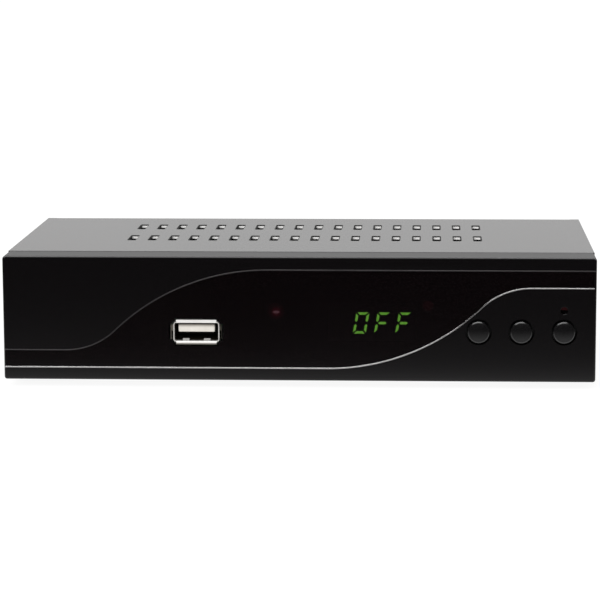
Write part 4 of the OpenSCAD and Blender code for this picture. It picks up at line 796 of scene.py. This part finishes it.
# Line across the cover, from the left foot over the top to the right one, with sharp folds
left_half = [(-half_w, foot_z), (-half_w, top_z - bend_r), (-half_w, top_z)]
right_half = [(-x, z) for x, z in reversed(left_half)]
across_line = left_half + [(-lip_end, top_z), (lip_end, top_z)] + right_half
# Rows from the front edge to the back, and on over the bend into the lip
front_rows = [cover_low.y / MM, back_y - bend_r]
bend_steps = 8
lip_rows = []
for i in range(1, bend_steps + 1):
    a = pi / 2 * i / bend_steps
    lip_rows.append((back_y - bend_r + bend_r * sin(a), bend_r * cos(a) - bend_r))
lip_rows.append((back_y, -lip_h))
# The two rear corners of the top are cut back, clear of the lip as it is folded
corner_cut = 0.6 * bend_r
shape = bmesh.new()
grid = [[shape.verts.new((x * MM, y * MM, z * MM)) for x, z in across_line] for y in front_rows]
grid.append([])
for x, z in across_line:
    cut = corner_cut if z == top_z else 0.0
    grid[2].append(shape.verts.new((x * MM, (back_y - cut) * MM, z * MM)))
first_lip = len(left_half)
for row in range(len(front_rows)):
    for i in range(len(across_line) - 1):
        if row == 0 or i != first_lip:
            shape.faces.new((grid[row][i], grid[row][i + 1], grid[row + 1][i + 1], grid[row + 1][i]))
previous = grid[1][first_lip:first_lip + 2]
for y, drop in lip_rows:
    current = [shape.verts.new((x * MM, y * MM, (top_z + drop) * MM)) for x in (-lip_end, lip_end)]
    shape.faces.new((previous[0], previous[1], current[1], current[0]))
    previous = current
bmesh.ops.recalc_face_normals(shape, faces=shape.faces)
if shape.faces[first_lip].normal.z < 0:
    bmesh.ops.reverse_faces(shape, faces=shape.faces)
cover_mesh = made(shape, bpy.data.meshes.new("cover"))

# Coil paint is rolled on smooth, so the cover mirrors the light overhead as one broad sheen
black_paint = grained_finish(
    "satin black coil paint", "#24201f", "#2a2625", grain=0.35, rough=(0.24, 0.28))
# Sheared steel: torn by the punch, so it scatters light like frost and looks almost white
sheared_steel = grained_finish(
    "sheared bare steel", "#f3f2f0", "#fdfcfa", grain=0.2, rough=(0.5, 0.7), stretch=(1, 1, 6))
# The rolled edges and the slots' sides are a duller, deeper black: painted shade for the slots' dark
# inside
shaded_black_paint = grained_finish(
    "black paint creased by the punch", "#050404", "#090808", grain=0.3, rough=(0.6, 0.75),
    Specular_IOR_Level=0.2)
cover = placed("cover", cover_mesh, [black_paint, sheared_steel, shaded_black_paint])
wall = cover.modifiers.new("sheet", "SOLIDIFY")
wall.thickness = sheet_t * MM
wall.offset = -1.0
wall.use_even_offset = True
rounded(cover, edge=0.25, steps=3)

# The punch: a slot's outline that widens over its last stretch, by which the paint is rolled in
rolled = 0.36
roll_turn, roll_steps = radians(80), 5
flare = 0.2
punch_depth, punch_proud = 1.5, 0.1
corner_r, corner_steps = 0.3, 3


def slot_ring(grow, z):
    """Points round a slot with small round corners, grown sideways by grow, at height z"""
    points = []
    for turn, (sx, sy) in enumerate(((1, 1), (-1, 1), (-1, -1), (1, -1))):
        for i in range(corner_steps + 1):
            a = pi / 2 * (turn + i / corner_steps)
            points.append((
                sx * (slot_w / 2 - corner_r) + (corner_r + grow) * cos(a),
                sy * (slot_l / 2 - corner_r) + (corner_r + grow) * sin(a), z))
    return points


levels = [(0.0, -punch_depth), (0.0, -rolled)]
for i in range(1, roll_steps + 1):
    a = roll_turn * i / roll_steps
    levels.append((rolled * (1 - cos(a)), rolled * (sin(a) - 1)))
levels.append((levels[-1][0] + flare, punch_proud))
shape = bmesh.new()
rings = [[shape.verts.new([c * MM for c in p]) for p in slot_ring(grow, z)] for grow, z in levels]
skinned(shape, rings)
shape.faces.new(list(reversed(rings[0])))
shape.faces.new(rings[-1])
punch_mesh = made(shape, bpy.data.meshes.new("punch"))
punch = placed("punch", punch_mesh, [black_paint, sheared_steel, shaded_black_paint])
# Under the rolled edge the slots' ends are torn bare, and the rolled edge and the slots' sides take the
# deeper black as painted shade
end_facing = 0.6
for face in punch_mesh.polygons:
    torn = face.center.z < -rolled * MM and abs(face.normal.y) > end_facing
    face.material_index = 1 if torn else 2

slot_tree, start, end = new_tree("rows of slots", [
    ("Punch", "NodeSocketObject"), ("Count", "NodeSocketInt"), ("Row length", "NodeSocketFloat"),
    ("Row distance", "NodeSocketFloat"), ("Middle", "NodeSocketVector"), ("Paint", "NodeSocketMaterial")])
rows = add_node(slot_tree, "GeometryNodeMeshGrid", {
    "Size X": start.outputs["Row length"], "Size Y": start.outputs["Row distance"],
    "Vertices X": start.outputs["Count"], "Vertices Y": 2})
moved = add_node(slot_tree, "GeometryNodeTransform", {
    "Geometry": rows.outputs[0], "Translation": start.outputs["Middle"]})
form = add_node(slot_tree, "GeometryNodeObjectInfo", {"Object": start.outputs["Punch"]})
put = add_node(slot_tree, "GeometryNodeInstanceOnPoints", {
    "Points": moved.outputs[0], "Instance": form.outputs["Geometry"]})
real = add_node(slot_tree, "GeometryNodeRealizeInstances", {"Geometry": put.outputs[0]})
painted = add_node(slot_tree, "GeometryNodeSetMaterial", {
    "Geometry": start.outputs["Geometry"], "Material": start.outputs["Paint"]})
punched = add_node(slot_tree, "GeometryNodeMeshBoolean", {
    "Mesh 1": painted.outputs[0], "Mesh 2": real.outputs[0]}, operation="DIFFERENCE", solver="EXACT")
slot_tree.links.new(punched.outputs[0], end.inputs[0])
grown(cover, slot_tree, {
    "Punch": punch, "Count": slot_count, "Row length": (slot_count - 1) * slot_pitch * MM,
    "Row distance": row_distance * MM,
    "Middle": (0.0, front_y + slot_middle_y * MM, cover_high.z), "Paint": black_paint})
bpy.data.objects.remove(punch)
flat_top = cover.modifiers.new("face normals", "WEIGHTED_NORMAL")
flat_top.keep_sharp = True
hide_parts("top_cover")
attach(cover, "case")

# Cover screws. Two black pan-head screws through the cover's lip into the rear panel.
# Black zinc plate is a dark metal with a dull sheen.
black_zinc = grained_finish(
    "black zinc plated screw", "#1c1c1d", "#2c2c2d", grain=0.6, rough=(0.3, 0.45), Metallic=0.8)
screw_set(
    "cover_cross_screws", "cover_screws",
    [(m.x, cover_high.y, m.z) for m in middles("cover_screws")],
    head_back, cross_screw(*case_head, case_screw_l), black_zinc, seed=12)

# Floor. A wide sheet of white paper. To the camera and in mirrors it glows a little, so that it comes
# out white, and what light the box takes from it still shows as a soft shadow.


def flat_sheet(name, finish, corner, along, up):
    """A four-sided sheet that runs from one corner along two edges, in metres"""
    corner, along, up = Vector(corner), Vector(along), Vector(up)
    mesh = bpy.data.meshes.new(name)
    mesh.from_pydata([corner, corner + along, corner + along + up, corner + up], [], [(0, 1, 2, 3)])
    return placed(name, mesh, [finish])


def seen_rays(tree):
    """One for camera, mirror and see-through rays, and nought for rays that only light"""
    path = add_node(tree, "ShaderNodeLightPath")
    seen = path.outputs["Is Camera Ray"]
    for kind in ("Is Glossy Ray", "Is Transmission Ray"):
        either = add_node(tree, "ShaderNodeMath", {0: seen, 1: path.outputs[kind]}, operation="MAXIMUM")
        seen = either.outputs[0]
    return seen


paper = bpy.data.materials.new("white paper")
paper.use_nodes = True
tree = paper.node_tree
tree.nodes.clear()
plain = add_node(tree, "ShaderNodeBsdfDiffuse", {"Color": linear("#e6e6e6")})
shaded = add_node(tree, "ShaderNodeBsdfDiffuse", {"Color": linear("#7c7c7c")})
glow = add_node(tree, "ShaderNodeEmission", {"Color": linear("#ffffff"), "Strength": 0.9})
bright = add_node(tree, "ShaderNodeAddShader", {0: shaded.outputs[0], 1: glow.outputs[0]})
mixed = add_node(tree, "ShaderNodeMixShader", {
    0: seen_rays(tree), 1: plain.outputs[0], 2: bright.outputs[0]})
add_node(tree, "ShaderNodeOutputMaterial", {"Surface": mixed.outputs[0]})
floor = flat_sheet("floor", paper, (-20.0, -20.0, 0.0), (40.0, 0.0, 0.0), (0.0, 40.0, 0.0))

# Dark cards. Black boards in front of the box and at its sides, which only mirrors see, so that the
# polished front stays black. The one on the floor has a bright strip along the box and then fades out
# slowly, so the front's foot is lighter.
card_black = grained_finish("matt black card", "#141414", "#141414", grain=1.0, rough=(0.9, 0.9))
strip_level, strip_half = 0.7, 8.0
fade_level, fade_half = 0.25, 45.0
far_level = 0.01
faded_card = bpy.data.materials.new("card faded to black")
faded_card.use_nodes = True
tree = faded_card.node_tree
tree.nodes.clear()
card_place = add_node(tree, "ShaderNodeTexCoord")
parts = add_node(tree, "ShaderNodeSeparateXYZ", {"Vector": card_place.outputs["Object"]})
card_level = far_level
for level, half in ((fade_level, fade_half), (strip_level, strip_half)):
    away = add_node(tree, "ShaderNodeMapRange", {
        "Value": parts.outputs[1], "From Min": front_y, "From Max": front_y - half * MM},
        clamp=False)
    faded = add_node(tree, "ShaderNodeMath", {0: 0.5, 1: away.outputs[0]}, operation="POWER")
    summed = add_node(tree, "ShaderNodeMath", {
        0: faded.outputs[0], 1: level, 2: card_level}, operation="MULTIPLY_ADD")
    card_level = summed.outputs[0]
card_glow = add_node(tree, "ShaderNodeEmission", {"Strength": card_level})
add_node(tree, "ShaderNodeOutputMaterial", {"Surface": card_glow.outputs[0]})
# Each has its first corner, from the middle of the front, and its two edges, in metres
front_middle = Vector((0.0, front_y, 0.0))
for name, finish, corner, along, up in (
        ("front_card", faded_card, (-3.0, -4.0, 0.001), (6.0, 0.0, 0.0), (0.0, 4.0, 0.0)),
        ("front_wall", card_black, (-3.0, -2.2, 0.0), (6.0, 0.0, 0.0), (0.0, 0.0, 1.2)),
        ("left_card", card_black, (-0.45, -1.0, 0.0), (0.0, 1.6, 0.0), (0.0, 0.0, 0.6)),
        ("right_card", card_black, (0.45, -1.0, 0.0), (0.0, 1.6, 0.0), (0.0, 0.0, 1.6))):
    card = flat_sheet(name, finish, front_middle + Vector(corner), along, up)
    card.visible_camera = False
    card.visible_diffuse = False
    card.visible_shadow = False
    card.visible_transmission = False

# Light. A white room, a broad soft box overhead that only gloss and mirrors see, and a wide soft sun
# from the front, a little to the left, that lights all the rest and isn't mirrored.
world = bpy.data.worlds.new("white room")
world.use_nodes = True
bpy.context.scene.world = world
tree = world.node_tree
tree.nodes.clear()
room_level, seen_level = 0.5, 1.0
level = add_node(tree, "ShaderNodeMapRange", {
    "Value": seen_rays(tree), "To Min": room_level, "To Max": seen_level})
room = add_node(tree, "ShaderNodeBackground", {
    "Color": linear("#ffffff"), "Strength": level.outputs[0]})
add_node(tree, "ShaderNodeOutputWorld", {"Surface": room.outputs[0]})

box_lamp = bpy.data.lights.new("soft box", "AREA")
box_lamp.shape = "RECTANGLE"
box_lamp.size = 1.4
box_lamp.size_y = 0.95
box_lamp.energy = 15.9
soft_box = shown("soft box", box_lamp)
soft_box.location = (-0.2, 0.125, 1.0)
soft_box.visible_diffuse = False

sun_lamp = bpy.data.lights.new("soft sun", "SUN")
sun_lamp.energy = 2.2
sun_lamp.angle = radians(40)
sun = shown("soft sun", sun_lamp)
sun_way = Vector((0.35, 1.0, -0.6))
sun.rotation_euler = sun_way.to_track_quat("-Z", "Y").to_euler()
sun.visible_glossy = False

# Camera. It looks slightly down on the front from a little right of its middle, through a long lens,
# as the photo was taken.
image_px = 600
focal_px = 2530.0
sensor_mm = 36.0
eye = Vector((0.03637, -0.75452, 0.13520))
yaw, pitch, roll = -0.0507, 0.1540, 0.0033
turn = Matrix.Rotation(-yaw, 4, "Z") @ Matrix.Rotation(pi / 2 - pitch, 4, "X")
camera_data = bpy.data.cameras.new("camera")
camera_data.sensor_width = sensor_mm
camera_data.lens = focal_px * sensor_mm / image_px
camera = shown("camera", camera_data)
camera.matrix_world = Matrix.Translation(eye) @ turn @ Matrix.Rotation(-roll, 4, "Z")
bpy.context.scene.camera = camera
bpy.context.scene.view_settings.view_transform = "Standard"
